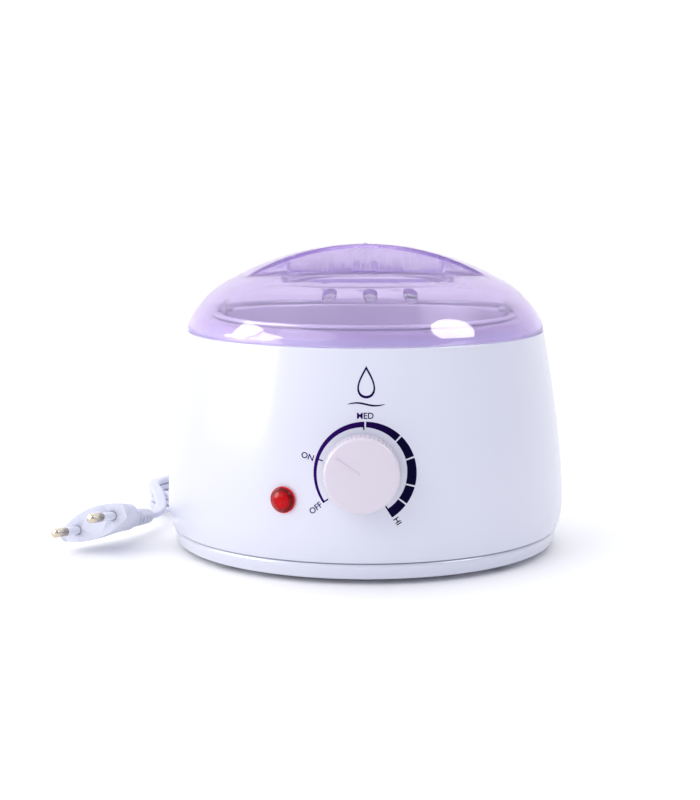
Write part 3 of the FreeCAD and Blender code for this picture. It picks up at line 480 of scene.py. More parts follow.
WALL_FROM, WALL_TO, WALL_TO_IN = 21.0, 94.5, 91.5   # heights where the leaning wall starts and ends
SHOULDER_R, SHOULDER_IN_R = wall_radius(WALL_TO), 75.9
side_out = [(wall_radius(z), z) for z in np.linspace(WALL_FROM, WALL_TO, 28)]
side_in = [(wall_radius(z) - WALL, z) for z in np.linspace(WALL_TO_IN, WALL_FROM, 20)]
foot_out = bow((BELLY_R - 2.0, FOOT_Z), (BELLY_R - 0.55, 14.6), (BELLY_R, WALL_FROM), 12)
housing_outline = outline(
    bow((BELLY_R - 2.6, FOOT_Z + 0.05), (BELLY_R - 2.3, FOOT_Z), (BELLY_R - 2.0, FOOT_Z + 0.35), 4),
    foot_out[1:], side_out,
    bow((SHOULDER_R, WALL_TO), (SHOULDER_R - 0.25, 95.0), (SHOULDER_R - 0.8, SHOULDER_Z), 5),
    (COLLAR_R + 0.3, SHOULDER_Z), (COLLAR_R, SHOULDER_Z + 0.3), (COLLAR_R, COLLAR_TOP),
    (COLLAR_R - WALL, COLLAR_TOP), (COLLAR_R - WALL, SHOULDER_Z - WALL),
    (SHOULDER_IN_R, SHOULDER_Z - WALL), side_in,
    [(r - WALL, z) for r, z in reversed(foot_out[1:-1])], (BELLY_R - 2.0 - WALL, FOOT_Z))
housing = lathe("housing_shell", housing_outline, 288, 30)
housing.data.materials.append(gloss_abs)
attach(housing, "housing")
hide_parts("outer_housing")
print("housing", len(housing.data.polygons), "faces")

# %% [markdown]
# The base ring, the collar ring, the feet and every fitting inside keep the solid model's shape.

# %% Base, feet, heater, control, wiring, and the loose pot's metalwork
fittings = {
    gloss_abs: ["base_plate"], satin_abs: ["collar_ring"],
    foot_rubber: ["base_feet"], silicone: ["bowl_gasket"],
    zinc_steel: ["base_screws", "band_clamp", "band_clamp_screw", "bowl_brackets", "bracket_screws",
                 "thermostat_bracket", "thermostat_nut", "thermostat_shaft", "lamp_clip", "cord_clamp_screws",
                 "pot_ears", "ear_rivets", "bail_handle", "thermal_fuse"],
    mica_band: ["heating_band"], glass_felt: ["insulation_sleeve"], steatite: ["thermostat_body"],
    brass: ["thermostat_terminals", "terminal_screws"], nylon: ["terminal_block", "cord_clamp"],
    brown_pvc: ["wire_brown_in", "wire_thermostat"], blue_pvc: ["wire_blue_in", "wire_lamp"],
    grip_nylon: ["bail_grip"], spun_aluminium: ["heater_bowl", "inner_pot"]}
for material, names in fittings.items():
    for node in names:
        fine_copy(node, material)
print(sum(len(v) for v in fittings.values()), "fittings")

# %% [markdown]
# ## Lid
# The lid is moulded in clear violet acrylic, about two millimetres thick: a domed crown, two finger ledges
# with a shallow well in each, a hollow grip left standing between them, six vents and a plain skirt. The
# grip's sides are hollowed, so it is narrow in the middle and flares where it runs out into the crown.
# Cutting boxes out of a dome gives hard edges that a moulding never has. Here the crown is a height
# rule instead: one rule for its outside, one for its inside, each rounded where the real one is. Both are
# sampled on a grid with extra lines along the grip's walls, and the skirt below is turned as usual.

# %% The crown's heights, outside where inset is zero and inside where it is the wall, in millimetres
lid_low, lid_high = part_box("lid")
RIM_Z, LID_R, LID_WALL = lid_low.z / MM, 78.2, 1.9
CROWN_TOP, CROWN_R = lid_high.z / MM - 0.3, 121.7
JOIN_R, CORNER_R, CORNER_Z = 58.0, 77.7, 98.2
LEDGE_Z, LEDGE_CROWN_R = 122.3, 500.0
GRIP_HALF, RECESS_R = 5.0, 94.2
WELL_DEEP, WELL_HALF, WELL_END, WELL_REACH, LIP_ROUND = 2.5, 33.0, 8.0, 45.0, 1.4
CROWN_EDGE, EDGE_GAP = 60.0, 0.6   # where the crown's grid meets the turned shoulder, and the room left there
SIDE_LINES = (-1.0, -0.85, -0.6, -0.4, -0.2, -0.08, -0.01, 0.0, 0.06, 0.2, 0.45, 0.8, 1.15, 1.5)


def crown_arcs(inset):
    """The crown's big arc and the tighter arc of its shoulder, both moved in by the inset."""
    centre_z, radius = CROWN_TOP - CROWN_R, CROWN_R - inset
    join = JOIN_R - inset * 0.48
    join_z = centre_z + math.sqrt(radius ** 2 - join ** 2)
    shoulder = circle_through((join, join_z), (70.7 - inset * 0.73, 108.7 - inset * 0.68),
                              (CORNER_R - inset, CORNER_Z - inset * 0.2))
    return centre_z, radius, join, join_z, shoulder


def crown_height(r, inset):
    """Height of the plain crown at a distance from the middle, before ledges and wells."""
    centre_z, radius, join, _, (sx, sz, sr) = crown_arcs(inset)
    big = centre_z + np.sqrt(np.maximum(radius ** 2 - r ** 2, 0))
    tight = sz + np.sqrt(np.maximum(sr ** 2 - (r - sx) ** 2, 0))
    return np.where(r <= join, big, tight)


def soft_min(a, b, k):
    """The lower of two heights, with the corner between them rounded over k."""
    h = np.clip(0.5 + 0.5 * (b - a) / k, 0, 1)
    return b * (1 - h) + a * h - k * h * (1 - h)


def quarter_climb(along, run, rise):
    """A quarter-round that climbs from 0 at the start to the rise at the end of the run."""
    share = np.clip(along / run, 0, 1)
    return rise * np.sqrt(1 - (1 - share) ** 2)


def beyond_grip(x, y, inset):
    """How far a point of the plan lies in front of the grip's hollowed side; less than 0 on the grip."""
    return RECESS_R + inset - np.hypot(x, GRIP_HALF + RECESS_R - np.abs(y))


def lid_height(x, y, inset):
    """Height of the lid's outer or inner face above a point of the plan."""
    r, ax, ay = np.hypot(x, y), np.abs(x), np.abs(y)
    crown = crown_height(r, inset)
    ledge = LEDGE_Z - inset - (LEDGE_CROWN_R - np.sqrt(LEDGE_CROWN_R ** 2 - x ** 2))
    ends = quarter_climb(ax - WELL_HALF - inset, WELL_END, WELL_DEEP)
    front = quarter_climb(ay - WELL_REACH - inset + LIP_ROUND, LIP_ROUND, WELL_DEEP + 0.5)
    well = LEDGE_Z - inset - WELL_DEEP + np.maximum(ends, front)
    edge_round, top_round, root_round = (0.9, 1.0, 1.3) if inset == 0 else (0.5, 0.4, 0.8)
    floor = soft_min(crown, np.minimum(ledge, well), edge_round)
    side = beyond_grip(x, y, inset)
    rise = np.maximum(crown - floor, 0)
    u = np.clip((side + top_round) / top_round, 0, 1)
    top = crown - np.minimum(top_round, rise / 2) * (1 - np.sqrt(1 - u ** 2))
    v = np.clip((root_round - side) / root_round, 0, 1)
    root = floor + np.minimum(root_round, rise / 2) * (1 - np.sqrt(1 - v ** 2))
    return np.where(side < 0, top, root)


print("crown", round(float(lid_height(np.array([0.0]), np.array([0.0]), 0)[0]), 2),
      "ledge", round(float(lid_height(np.array([0.0]), np.array([55.0]), 0)[0]), 2))


# %% A face of the crown: grid points inside a circle, joined by triangles
def crown_face(inset, ring_turns, spacing=0.75):
    """A square grid, cleared along the grip's two sides for lines that follow them closely."""
    xs = np.arange(-80, 81) * spacing
    gx, gy = (g.ravel() for g in np.meshgrid(xs, xs))
    side = beyond_grip(gx, gy, inset)
    keep = (np.hypot(gx, gy) < CROWN_EDGE - EDGE_GAP) & ((side < -1.3) | (side > 1.9))
    px, py = [gx[keep]], [gy[keep]]
    for off in SIDE_LINES:
        reach = RECESS_R + inset - off
        near = GRIP_HALF + RECESS_R - np.sqrt(reach ** 2 - xs ** 2)
        inside = (np.hypot(xs, near) < CROWN_EDGE - EDGE_GAP)
        for sign in (-1, 1):
            px.append(xs[inside])
            py.append(sign * near[inside])
    px, py = np.concatenate(px), np.concatenate(py)
    ring = [(CROWN_EDGE * math.cos(t), CROWN_EDGE * math.sin(t)) for t in ring_turns]
    px = np.concatenate([px, [p[0] for p in ring]])
    py = np.concatenate([py, [p[1] for p in ring]])
    cdt = geometry.delaunay_2d_cdt([Vector((a, b)) for a, b in zip(px, py)], [], [], 0, 1e-6)
    plan = np.array([tuple(v) for v in cdt[0]])
    heights = lid_height(plan[:, 0], plan[:, 1], inset)
    return [(a, b, z) for (a, b), z in zip(plan, heights)], [tuple(f) for f in cdt[2]]


# %% The whole lid: crown outside and inside, and the turned shoulder, skirt and rim between them
def lid_skirt():
    """Outline from the crown's edge outside, down to the rim and up again inside."""
    def shoulder(inset):
        *_, (sx, sz, sr) = crown_arcs(inset)
        return [(r, sz + math.sqrt(max(sr ** 2 - (r - sx) ** 2, 0)))
                for r in (CROWN_EDGE + (CORNER_R - inset - CROWN_EDGE) * math.sin(math.pi / 2 * i / 26)
                          for i in range(27))]
    outer, inner = shoulder(0), shoulder(LID_WALL)
    rim = [(LID_R - 0.02, RIM_Z + 0.5), (LID_R - 0.15, RIM_Z + 0.15), (LID_R - 0.5, RIM_Z),
           (LID_R - LID_WALL + 0.4, RIM_Z), (LID_R - LID_WALL + 0.1, RIM_Z + 0.12),
           (LID_R - LID_WALL, RIM_Z + 0.5)]
    return outline(outer, rim, inner[::-1])


STEPS = 256
turns = [math.tau * i / STEPS for i in range(STEPS)]
verts, faces = [], []
for inset in (0, LID_WALL):
    face_points, face_tris = crown_face(inset, turns)
    start = len(verts)
    verts += [(a * MM, b * MM, z * MM) for a, b, z in face_points]
    faces += [tuple(start + i for i in tri) for tri in face_tris]
start, skirt = len(verts), lid_skirt()
verts += [(r * math.cos(t) * MM, r * math.sin(t) * MM, z * MM) for r, z in skirt for t in turns]
for k in range(len(skirt) - 1):
    for i in range(STEPS):
        j = (i + 1) % STEPS
        a, b = start + k * STEPS, start + (k + 1) * STEPS
        faces.append((a + i, a + j, b + j, b + i))
lid = piece("lid_shell", verts, faces, 60, 3e-6)
print("lid", len(lid.data.polygons), "faces")

# %% [markdown]
# Six vents pierce the crown, three in front and three behind. The cutters are one small drum repeated by a
# Geometry Nodes tree, which is also used for the knob's ribs: a shape, a count and a radius go in.

# %% A tree that repeats a shape on an arc about the upright axis
def repeat_tree():
    """The node tree: points on an arc, a copy of the shape on each, turned to face outwards."""
    tree = bpy.data.node_groups.new("repeat on an arc", "GeometryNodeTree")
    face = tree.interface
    face.new_socket("Geometry", in_out="INPUT", socket_type="NodeSocketGeometry")
    for label, kind in (("Shape", "Object"), ("Count", "Int"), ("Radius", "Float"), ("Height", "Float"),
                        ("First turn", "Float"), ("Turn step", "Float"), ("Finish", "Material")):
        face.new_socket(label, in_out="INPUT", socket_type="NodeSocket" + kind)
    face.new_socket("Geometry", in_out="OUTPUT", socket_type="NodeSocketGeometry")
    given = add(tree, "NodeGroupInput").outputs
    index = add(tree, "GeometryNodeInputIndex").outputs[0]
    turn = add(tree, "ShaderNodeMath", [(index, 0), (given["Turn step"], 1), (given["First turn"], 2)],
               operation="MULTIPLY_ADD").outputs[0]
    cosine = add(tree, "ShaderNodeMath", [(turn, 0)], operation="COSINE").outputs[0]
    sine = add(tree, "ShaderNodeMath", [(turn, 0)], operation="SINE").outputs[0]
    x = add(tree, "ShaderNodeMath", [(cosine, 0), (given["Radius"], 1)], operation="MULTIPLY").outputs[0]
    y = add(tree, "ShaderNodeMath", [(sine, 0), (given["Radius"], 1)], operation="MULTIPLY").outputs[0]
    place = add(tree, "ShaderNodeCombineXYZ", [(x, 0), (y, 1), (given["Height"], 2)]).outputs[0]
    aim = add(tree, "ShaderNodeCombineXYZ", [(turn, 2)]).outputs[0]
    points = add(tree, "GeometryNodePoints", [(given["Count"], "Count"), (place, "Position")]).outputs[0]
    shape = add(tree, "GeometryNodeObjectInfo", [(given["Shape"], "Object")]).outputs["Geometry"]
    copies = add(tree, "GeometryNodeInstanceOnPoints",
                 [(points, "Points"), (shape, "Instance"), (aim, "Rotation")])
    real = add(tree, "GeometryNodeRealizeInstances", [(copies.outputs[0], 0)]).outputs[0]
    done = add(tree, "GeometryNodeSetMaterial",
               [(real, "Geometry"), (given["Finish"], "Material")]).outputs[0]
    add(tree, "NodeGroupOutput", [(done, 0)])
    return tree


arc_tree = repeat_tree()


def repeated(name, shape, finish, count, radius, height, first=0.0, step=None):
    """Copies of a shape on an arc; radius and height in millimetres, turns in degrees."""
    obj = in_scene(name, bpy.data.meshes.new(name))
    rule = obj.modifiers.new("repeat", "NODES")
    rule.node_group = arc_tree
    step = 360 / count if step is None else step
    values = {"Shape": shape, "Count": count, "Radius": radius * MM, "Height": height * MM,
              "First turn": math.radians(first), "Turn step": math.radians(step), "Finish": finish}
    for item in arc_tree.interface.items_tree:
        if item.in_out == "INPUT" and item.name in values:
            rule[item.identifier] = values[item.name]
    plain_mesh(obj)
    bpy.data.objects.remove(shape)
    return obj


# %% Clear violet acrylic: its colour comes from the light's way through it, so edges and upright walls are
# deepest. A quarter of its surface scatters light softly, which is the fine haze of a worn mould.
HAZE = 0.25


def violet_acrylic():
    material, tree = blank("violet acrylic, clear moulded")
    place = add(tree, "ShaderNodeTexCoord").outputs["Object"]
    flow = add(tree, "ShaderNodeTexNoise", [(place, "Vector")], Scale=1 / (9 * MM), Detail=2.0)
    bump = add(tree, "ShaderNodeBump", [(flow.outputs["Fac"], "Height")], Strength=0.06, Distance=0.3 * MM)
    skin = add(tree, "ShaderNodeBsdfPrincipled", [(bump.outputs["Normal"], "Normal")],
               Roughness=0.03, IOR=1.49, Transmission_Weight=1.0)
    skin.inputs["Base Color"].default_value = srgb("#FFFFFF")
    haze = add(tree, "ShaderNodeBsdfTranslucent")
    haze.inputs["Color"].default_value = srgb("#F0E6FE")
    both = add(tree, "ShaderNodeMixShader", [(skin.outputs["BSDF"], 1), (haze.outputs["BSDF"], 2)])
    both.inputs["Fac"].default_value = HAZE
    body = add(tree, "ShaderNodeVolumeAbsorption", Density=70.0)
    body.inputs["Color"].default_value = (0.48, 0.12, 0.93, 1.0)
    add(tree, "ShaderNodeOutputMaterial", [(both.outputs[0], "Surface"), (body.outputs["Volume"], "Volume")])
    return material


acrylic = violet_acrylic()

# %% Vents, the small gate mark on top, and the lid's slight turn on the pot
VENT_R, VENT_RING_R, VENT_TURN = 3.0, 62.3, 15.2
LID_TURN = 1.8
drum = lathe("vent drum", [(0, -20), (VENT_R, -20), (VENT_R, 20), (0, 20)], 40)
vents = repeated("vent cutters", drum, acrylic, 3, VENT_RING_R, 112, -90 - VENT_TURN, VENT_TURN)
vents_back = vents.copy()
vents_back.data = vents.data.copy()
bpy.context.scene.collection.objects.link(vents_back)
placed(vents_back, Matrix.Rotation(math.pi, 4, "Z"))
carve(lid, join_pieces(vents, vents_back))
welded(lid, 60, 1e-7, turn_out=False)
gate = lathe("gate_mark", [(0, CROWN_TOP - 0.35), (1.0, CROWN_TOP - 0.35), (0.9, CROWN_TOP + 0.2),
                           (0.7, CROWN_TOP + 0.3), (0, CROWN_TOP + 0.3)], 24)
for part in (lid, gate):
    part.data.materials.clear()
    part.data.materials.append(acrylic)
    placed(part, Matrix.Rotation(math.radians(LID_TURN), 4, "Z"))
    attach(part, "lid")
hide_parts("lid")
print("lid with vents", len(lid.data.polygons), "faces")

# %% [markdown]
# ## Dial
# The knob is a separate moulding on the thermostat's shaft: a thin satin cap with a slightly crowned face,
# fine grip ribs round its side and a raised pointer. The cap is turned lying down, about the upright axis,
# where ribs are easy to repeat, and then stood up on the shaft's axis.

# %% The knob's axis, from the joint
knob_joint = next(j for j in frame["joints"] if j["child"] == "knob")
KNOB_AT = Vector(knob_joint["pos_m"])
KNOB_OUT = Vector(knob_joint["axis"]).normalized()
KNOB_REST = 146.7
KNOB_R, KNOB_BACK, KNOB_H = 15.5, 1.3, 12.6
KNOB_TOP = KNOB_BACK + KNOB_H


def standing(at, out, spin=0.0):
    """The matrix that stands a shape drawn about the upright axis onto another axis."""
    up = (Vector((0, 0, 1)) - out * out.z).normalized()
    right = up.cross(out)
    turn = Matrix((right, up, out)).transposed().to_4x4()
    return Matrix.Translation(at) @ turn @ Matrix.Rotation(math.radians(spin), 4, "Z")


knob_stand = standing(KNOB_AT, KNOB_OUT, KNOB_REST)
cap_outline = outline(
    (0, KNOB_TOP - 2.2), (KNOB_R - 2.1, KNOB_TOP - 2.2), (KNOB_R - 1.9, KNOB_BACK + 0.3),
    (KNOB_R - 1.6, KNOB_BACK), (KNOB_R - 0.5, KNOB_BACK), (KNOB_R - 0.25, KNOB_BACK + 0.3),
    (KNOB_R - 0.55, KNOB_TOP - 2.0),
    bow((KNOB_R - 0.6, KNOB_TOP - 1.7), (KNOB_R - 0.95, KNOB_TOP - 1.0), (KNOB_R - 1.7, KNOB_TOP - 0.72), 7),
    bow((KNOB_R - 1.75, KNOB_TOP - 0.71), (7.2, KNOB_TOP - 0.19), (0, KNOB_TOP), 12))
knob = lathe("knob_cap", cap_outline, 192, 40)
hub = lathe("knob hub", [(3.05, 4.9), (5.6, 4.9), (5.6, KNOB_TOP - 2.1), (3.05, KNOB_TOP - 2.1)], 64)
rib_half = [(-0.55, 0.42), (-0.1, 0.42), (0.16, 0.26)]
rib_outline = [(x, -y) for x, y in rib_half] + [(0.26, 0.0)] + rib_half[::-1]


def rib_shape():
    """One grip rib, standing at the axis and thinning towards the face."""
    verts, count = [], len(rib_outline)
    for z, fat in ((KNOB_BACK + 0.1, 0.9), (KNOB_BACK + 0.5, 1.0), (KNOB_TOP - 2.2, 0.95),
                   (KNOB_TOP - 1.5, 0.75), (KNOB_TOP - 1.1, 0.3)):
        lean = -0.35 * (z - KNOB_BACK) / KNOB_H - (0.25 if fat < 0.5 else 0.0)
        verts += [((x * fat + lean) * MM, y * fat * MM, z * MM) for x, y in rib_outline]
    ends = [tuple(reversed(range(count))), tuple(range(4 * count, 5 * count))]
    return piece("rib", verts, side_faces(5, count) + ends, 50)


RIBS = 54
ribs = repeated("knob ribs", rib_shape(), satin_abs, RIBS, KNOB_R - 0.25, 0)


def pointer_bar():
    """A raised line with rounded ends that runs from near the middle to near the edge."""
    ends = bow((1.5, 0.42), (1.08, 0.0), (1.5, -0.42), 6) + bow((12.0, -0.42), (12.42, 0.0), (12.0, 0.42), 6)
    top = [(x - (0.1 if x > 6 else -0.1), y * 0.72) for x, y in ends]
    verts = [(x * MM, y * MM, (KNOB_TOP - 1.4) * MM) for x, y in ends]
    verts += [(x * MM, y * MM, (KNOB_TOP + 0.15) * MM) for x, y in ends]
    verts += [(x * MM, y * MM, (KNOB_TOP + 0.33) * MM) for x, y in top]
    n = len(ends)
    caps = [tuple(reversed(range(n))), tuple(range(2 * n, 3 * n))]
    return piece("pointer", verts, side_faces(3, n) + caps, 40)


knob = join_pieces(knob, hub, ribs, pointer_bar())
knob.data.materials.clear()
knob.data.materials.append(satin_abs)
for face in knob.data.polygons:
    face.material_index = 0
placed(knob, knob_stand)
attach(knob, "knob")
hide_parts("control_knob")
print("knob", len(knob.data.polygons), "faces")

# %% [markdown]
# ## Lamp
# The lamp's cap is moulded in clear red polycarbonate: a low dome with a thin rim on the wall, and small
# prisms inside it that scatter the neon's light. The dome is turned; the prisms are a fine bump and a
# change of colour in the finish, because they are a few tenths of a millimetre across.

# %% The red lens
lamp_low, lamp_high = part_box("indicator_lens")
LAMP_TURN = math.radians(22)
LAMP_OUT = Vector((-math.sin(LAMP_TURN), -math.cos(LAMP_TURN), 0))
LAMP_Z = (lamp_low.z + lamp_high.z) / 2
LAMP_R = (lamp_high.z - lamp_low.z) / 2 / MM
LAMP_FROM_AXIS = 86.85 * MM
LAMP_AT = LAMP_OUT * LAMP_FROM_AXIS + Vector((0, 0, LAMP_Z))
STEM_R, STEM_DEEP, DOME_TOP = 4.0, -5.5, 4.2
lens_outline = outline((0, STEM_DEEP), (STEM_R, STEM_DEEP), (STEM_R, 0.5), (LAMP_R - 0.1, 0.5), (LAMP_R, 0.65),
                       (LAMP_R, 1.05), (LAMP_R - 0.15, 1.25), (LAMP_R - 0.5, 1.3),
                       bow((LAMP_R - 0.55, 1.35), (LAMP_R * 0.62, 3.25), (0, DOME_TOP), 14))
lens = lathe("lamp_lens", lens_outline, 96, 40)


PRISM_MM = 1.1   # a prism's width, drawn about twice as coarse as it is so that it shows


def red_polycarbonate():
    """Red from the middle out: bright in the middle, painted shade in a dark band where the dome turns away,
    and painted light on the rim.
    """
    material, tree = blank("red polycarbonate lens, prismatic back")
    place = add(tree, "ShaderNodeTexCoord").outputs["Object"]
    from_middle = add(tree, "ShaderNodeVectorMath", [(place, 0)], operation="SUBTRACT")
    from_middle.inputs[1].default_value = LAMP_AT + LAMP_OUT * (2.5 * MM)
    away = add(tree, "ShaderNodeVectorMath", [(from_middle.outputs[0], 0)], operation="LENGTH").outputs["Value"]
    share = add(tree, "ShaderNodeMapRange", [(away, "Value")], From_Min=0.0, From_Max=5.6 * MM)
    prisms = add(tree, "ShaderNodeTexVoronoi", [(place, "Vector")], Scale=1 / (PRISM_MM * MM))
    # Painted shade and painted light: this ramp darkens a band where the dome turns away and brightens the rim.
    painted_shade_and_rim_light = add(tree, "ShaderNodeValToRGB", [(share.outputs["Result"], "Fac")])
    stops = painted_shade_and_rim_light.color_ramp.elements
    stops[0].position, stops[0].color = 0.30, srgb("#D80012")
    stops[1].position, stops[1].color = 0.99, srgb("#FF2A3E")
    for position, code in ((0.62, "#B8000E"), (0.80, "#5A0008"), (0.92, "#A4000E")):
        stop = stops.new(position)
        stop.color = srgb(code)
    deep = add(tree, "ShaderNodeMix", [(prisms.outputs["Distance"], "Factor")],
               data_type="RGBA", blend_type="MULTIPLY")
    deep.inputs[7].default_value = srgb("#C86070")
    tree.links.new(painted_shade_and_rim_light.outputs["Color"], deep.inputs[6])
    bump = add(tree, "ShaderNodeBump", [(prisms.outputs["Distance"], "Height")],
               Strength=0.12, Distance=0.3 * MM)
    # The slight glow carries the same painted shade and rim light, and is painted light itself: the plug lies
    # on the table, so the neon is unlit.
    skin_on(tree, deep.outputs[2], bump, [(deep.outputs[2], "Emission Color")], Roughness=0.2, IOR=1.58,
            Specular_IOR_Level=0.1, Coat_Weight=0.08, Coat_Roughness=0.03, Emission_Strength=0.15)
    return material


lens.data.materials.append(red_polycarbonate())
placed(lens, standing(LAMP_AT, LAMP_OUT))
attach(lens, "housing")
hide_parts("indicator_lens")


# %% Neon glass
def neon_glass():
    material = bpy.data.materials.new("soda glass, neon bulb")
    material.use_nodes = True
    skin = material.node_tree.nodes["Principled BSDF"]
    skin.inputs["Base Color"].default_value = srgb("#F0C8A8")
    skin.inputs["Transmission Weight"].default_value = 0.9
    skin.inputs["Roughness"].default_value = 0.02
    skin.inputs["IOR"].default_value = 1.52
    return material


fine_copy("neon_lamp", neon_glass())

# %% [markdown]
# ## Printing
# The scale, its words and the drop above it are pad printed in one violet-black ink, a few hundredths of a
# millimetre thick. A picture texture would do it on a game model; here each mark is a thin mesh drawn flat
# and then bent onto the wall, so that its edges stay crisp at any distance.

# %% From the flat drawing to the leaning wall
PRINT_LIFT = 0.05
CUT_FROM, CUT_TO, CUT_SHIFT = -30, 91, 0.013   # cuts a millimetre apart let a flat mark bend with the wall


def on_wall(x, z):
    """The place on the wall, in metres, of a point of the flat drawing."""
    radius = wall_radius(z) + PRINT_LIFT
    return (x * MM, -math.sqrt(radius ** 2 - x ** 2) * MM, z * MM)


def printed(name, flat_points, flat_faces):
    """A flat drawing in (across, up) millimetres as a thin skin on the wall."""
    bm = bmesh.new()
    for x, z in flat_points:
        bm.verts.new((x, 0, z))
    bm.verts.ensure_lookup_table()
    for face in flat_faces:
        bm.faces.new([bm.verts[i] for i in face])
    for across in (Vector((1, 0, 0)), Vector((0, 0, 1))):
        for k in range(CUT_FROM, CUT_TO):
            geom = bm.verts[:] + bm.edges[:] + bm.faces[:]
            reach = [v.co.dot(across) for v in bm.verts]
            cut = k + CUT_SHIFT
            if min(reach) < cut < max(reach):
                bmesh.ops.bisect_plane(bm, geom=geom, plane_co=across * cut, plane_no=across, dist=1e-5)
    bmesh.ops.remove_doubles(bm, verts=bm.verts, dist=1e-5)
    for v in bm.verts:
        v.co = on_wall(v.co.x, v.co.z)
    bmesh.ops.recalc_face_normals(bm, faces=bm.faces)
    if sum(f.normal.y for f in bm.faces) > 0:
        bmesh.ops.reverse_faces(bm, faces=bm.faces)
    mesh = bpy.data.meshes.new(name)
    bm.to_mesh(mesh)
    bm.free()
    obj = in_scene(name, mesh)
    film = obj.modifiers.new("film", "SOLIDIFY")
    film.thickness, film.offset = 0.07 * MM, -1
    return plain_mesh(obj)


# %% The scale: one arc that grows thicker, cut by gaps, with a tick at each named place
DIAL_X, DIAL_Z, DIAL_R = 0.0, 46.05, 20.5
stroke_turns = [-60.0, 0.0, 45.0, 90.0, 164.0, 215.0]
stroke_wide = [3.9, 3.8, 3.1, 2.2, 1.35, 0.95]


def dial_point(turn, radius):
    """A point of the drawing at a turn, in degrees, and a radius about the dial's middle."""
    t = math.radians(turn)
    return DIAL_X + radius * math.cos(t), DIAL_Z + radius * math.sin(t)


def strip_faces(steps):
    """Faces along a strip whose points come in pairs, one on each side."""
    return [(2 * i, 2 * i + 1, 2 * i + 3, 2 * i + 2) for i in range(steps)]


def arc_band(turn_a, turn_b):
    """The band between two turns, as points and faces."""
    steps = max(2, int(abs(turn_b - turn_a) / 2))
    points = []
    for i in range(steps + 1):
        turn = turn_a + (turn_b - turn_a) * i / steps
        wide = float(np.interp(turn, stroke_turns, stroke_wide))
        points += [dial_point(turn, DIAL_R), dial_point(turn, DIAL_R - wide)]
    return points, strip_faces(steps)


def tick(turn, wide, length, shift=0.0):
    """A short bar from the outside of the arc inwards, moved sideways by shift."""
    out = Vector(dial_point(turn, 1.0)) - Vector(dial_point(turn, 0.0))
    side = Vector((-out.y, out.x))
    a = Vector(dial_point(turn, DIAL_R)) + side * shift
    b = a - out * length
    half = side * wide / 2
    return [tuple(p) for p in (a + half, a - half, b - half, b + half)], [(0, 1, 2, 3)]


GAP, SCALE_FROM, SCALE_TO = 1.0, -57, 215
cuts = [-37, -15, 18, 46, 90]
band_ends = [SCALE_FROM] + [t + s * GAP for t in cuts for s in (-1, 1)] + [SCALE_TO]
marks = [arc_band(a, b) for a, b in zip(band_ends[::2], band_ends[1::2])]
marks += [tick(215, 0.55, 2.6), tick(164, 0.5, 3.0), tick(91.8, 0.55, 3.2), tick(-57.6, 0.6, 5.3)]
scale_marks = [printed("dial_mark_%02d" % i, *mark) for i, mark in enumerate(marks)]
print(len(scale_marks), "marks on the dial")


# %% The words, from the built-in typeface, set along the arc
def word(text, x, z, lean, size):
    """A word round its middle (x, z) on the drawing, leaning by some degrees."""
    letters = bpy.data.curves.new(text, "FONT")
    letters.body, letters.size, letters.align_x, letters.align_y = text, size, "CENTER", "CENTER"
    letters.resolution_u, letters.offset = 4, 0.05
    obj = in_scene(text, letters)
    mesh = evaluated_mesh(obj)
    bpy.data.objects.remove(obj)
    turn = Matrix.Rotation(math.radians(lean), 2)
    flat = [turn @ Vector((v.co.x, v.co.y)) for v in mesh.vertices]
    faces = [tuple(p.vertices) for p in mesh.polygons]
    return printed("word_" + text.lower(), [(x + p.x, z + p.y) for p in flat], faces)


words = [word("MED", 0.0, 68.7, 0, 3.4), word("ON", -22.9, 52.3, -17, 3.3),
         word("OFF", -19.6, 31.9, 40, 3.3), word("HI", 12.8, 27.0, -57, 3.3)]


# %% A plain drop over the scale, for the wax
def drop_outline(wide, tall, steps=48):
    return [(wide * math.sin(t) * abs(math.sin(t / 2)) ** 1.3, tall * math.cos(t))
            for t in (math.tau * i / steps for i in range(steps))]


def drop_ring(x, z):
    """The band between the drop's outline and a smaller one inside it."""
    outer = drop_outline(4.9, 6.4)
    inner = [(px * 0.80, pz * 0.80 - 0.25) for px, pz in outer]
    return [(x + px, z + pz) for px, pz in outer + inner], side_faces(2, len(outer))


def wave(x, z, length, wide, steps=24):
    """One lying wave that thins towards both ends."""
    points = []
    for i in range(steps + 1):
        s = i / steps
        thick = wide * math.sin(math.pi * s) ** 0.5 + 0.05
        y = 0.55 * math.sin(math.tau * s)
        points += [(x + length * (s - 0.5), z + y + thick / 2), (x + length * (s - 0.5), z + y - thick / 2)]
    return points, strip_faces(steps)


emblem = [printed("drop_mark", *drop_ring(0.4, 82.0)), printed("wave_mark", *wave(0.4, 73.3, 15.0, 0.7))]


# %% The ink: one violet-black ink, satin, with painted light making it violet on the left and painted shade making it nearly black on the right
def ink_with_painted_side_light():
    material, tree = blank("pad printing ink, violet black")
    place = add(tree, "ShaderNodeTexCoord").outputs["Object"]
    apart = add(tree, "ShaderNodeSeparateXYZ", [(place, "Vector")])
    across = add(tree, "ShaderNodeMapRange", [(apart.outputs["X"], "Value")],
                 From_Min=-18 * MM, From_Max=14 * MM)
    screen = add(tree, "ShaderNodeTexNoise", [(place, "Vector")], Scale=1 / (0.4 * MM), Detail=1.0)
    # Painted light and shade: the one ink is mixed lighter violet towards the lit left and nearly black towards
    # the shaded right.
    tint = two_colours(tree, across.outputs["Result"], srgb("#2C0262"), srgb("#03002A"))
    bump = add(tree, "ShaderNodeBump", [(screen.outputs["Fac"], "Height")], Strength=0.1, Distance=0.02 * MM)
    skin_on(tree, tint, bump, Roughness=0.5, IOR=1.5, Specular_IOR_Level=0.04)
    return material


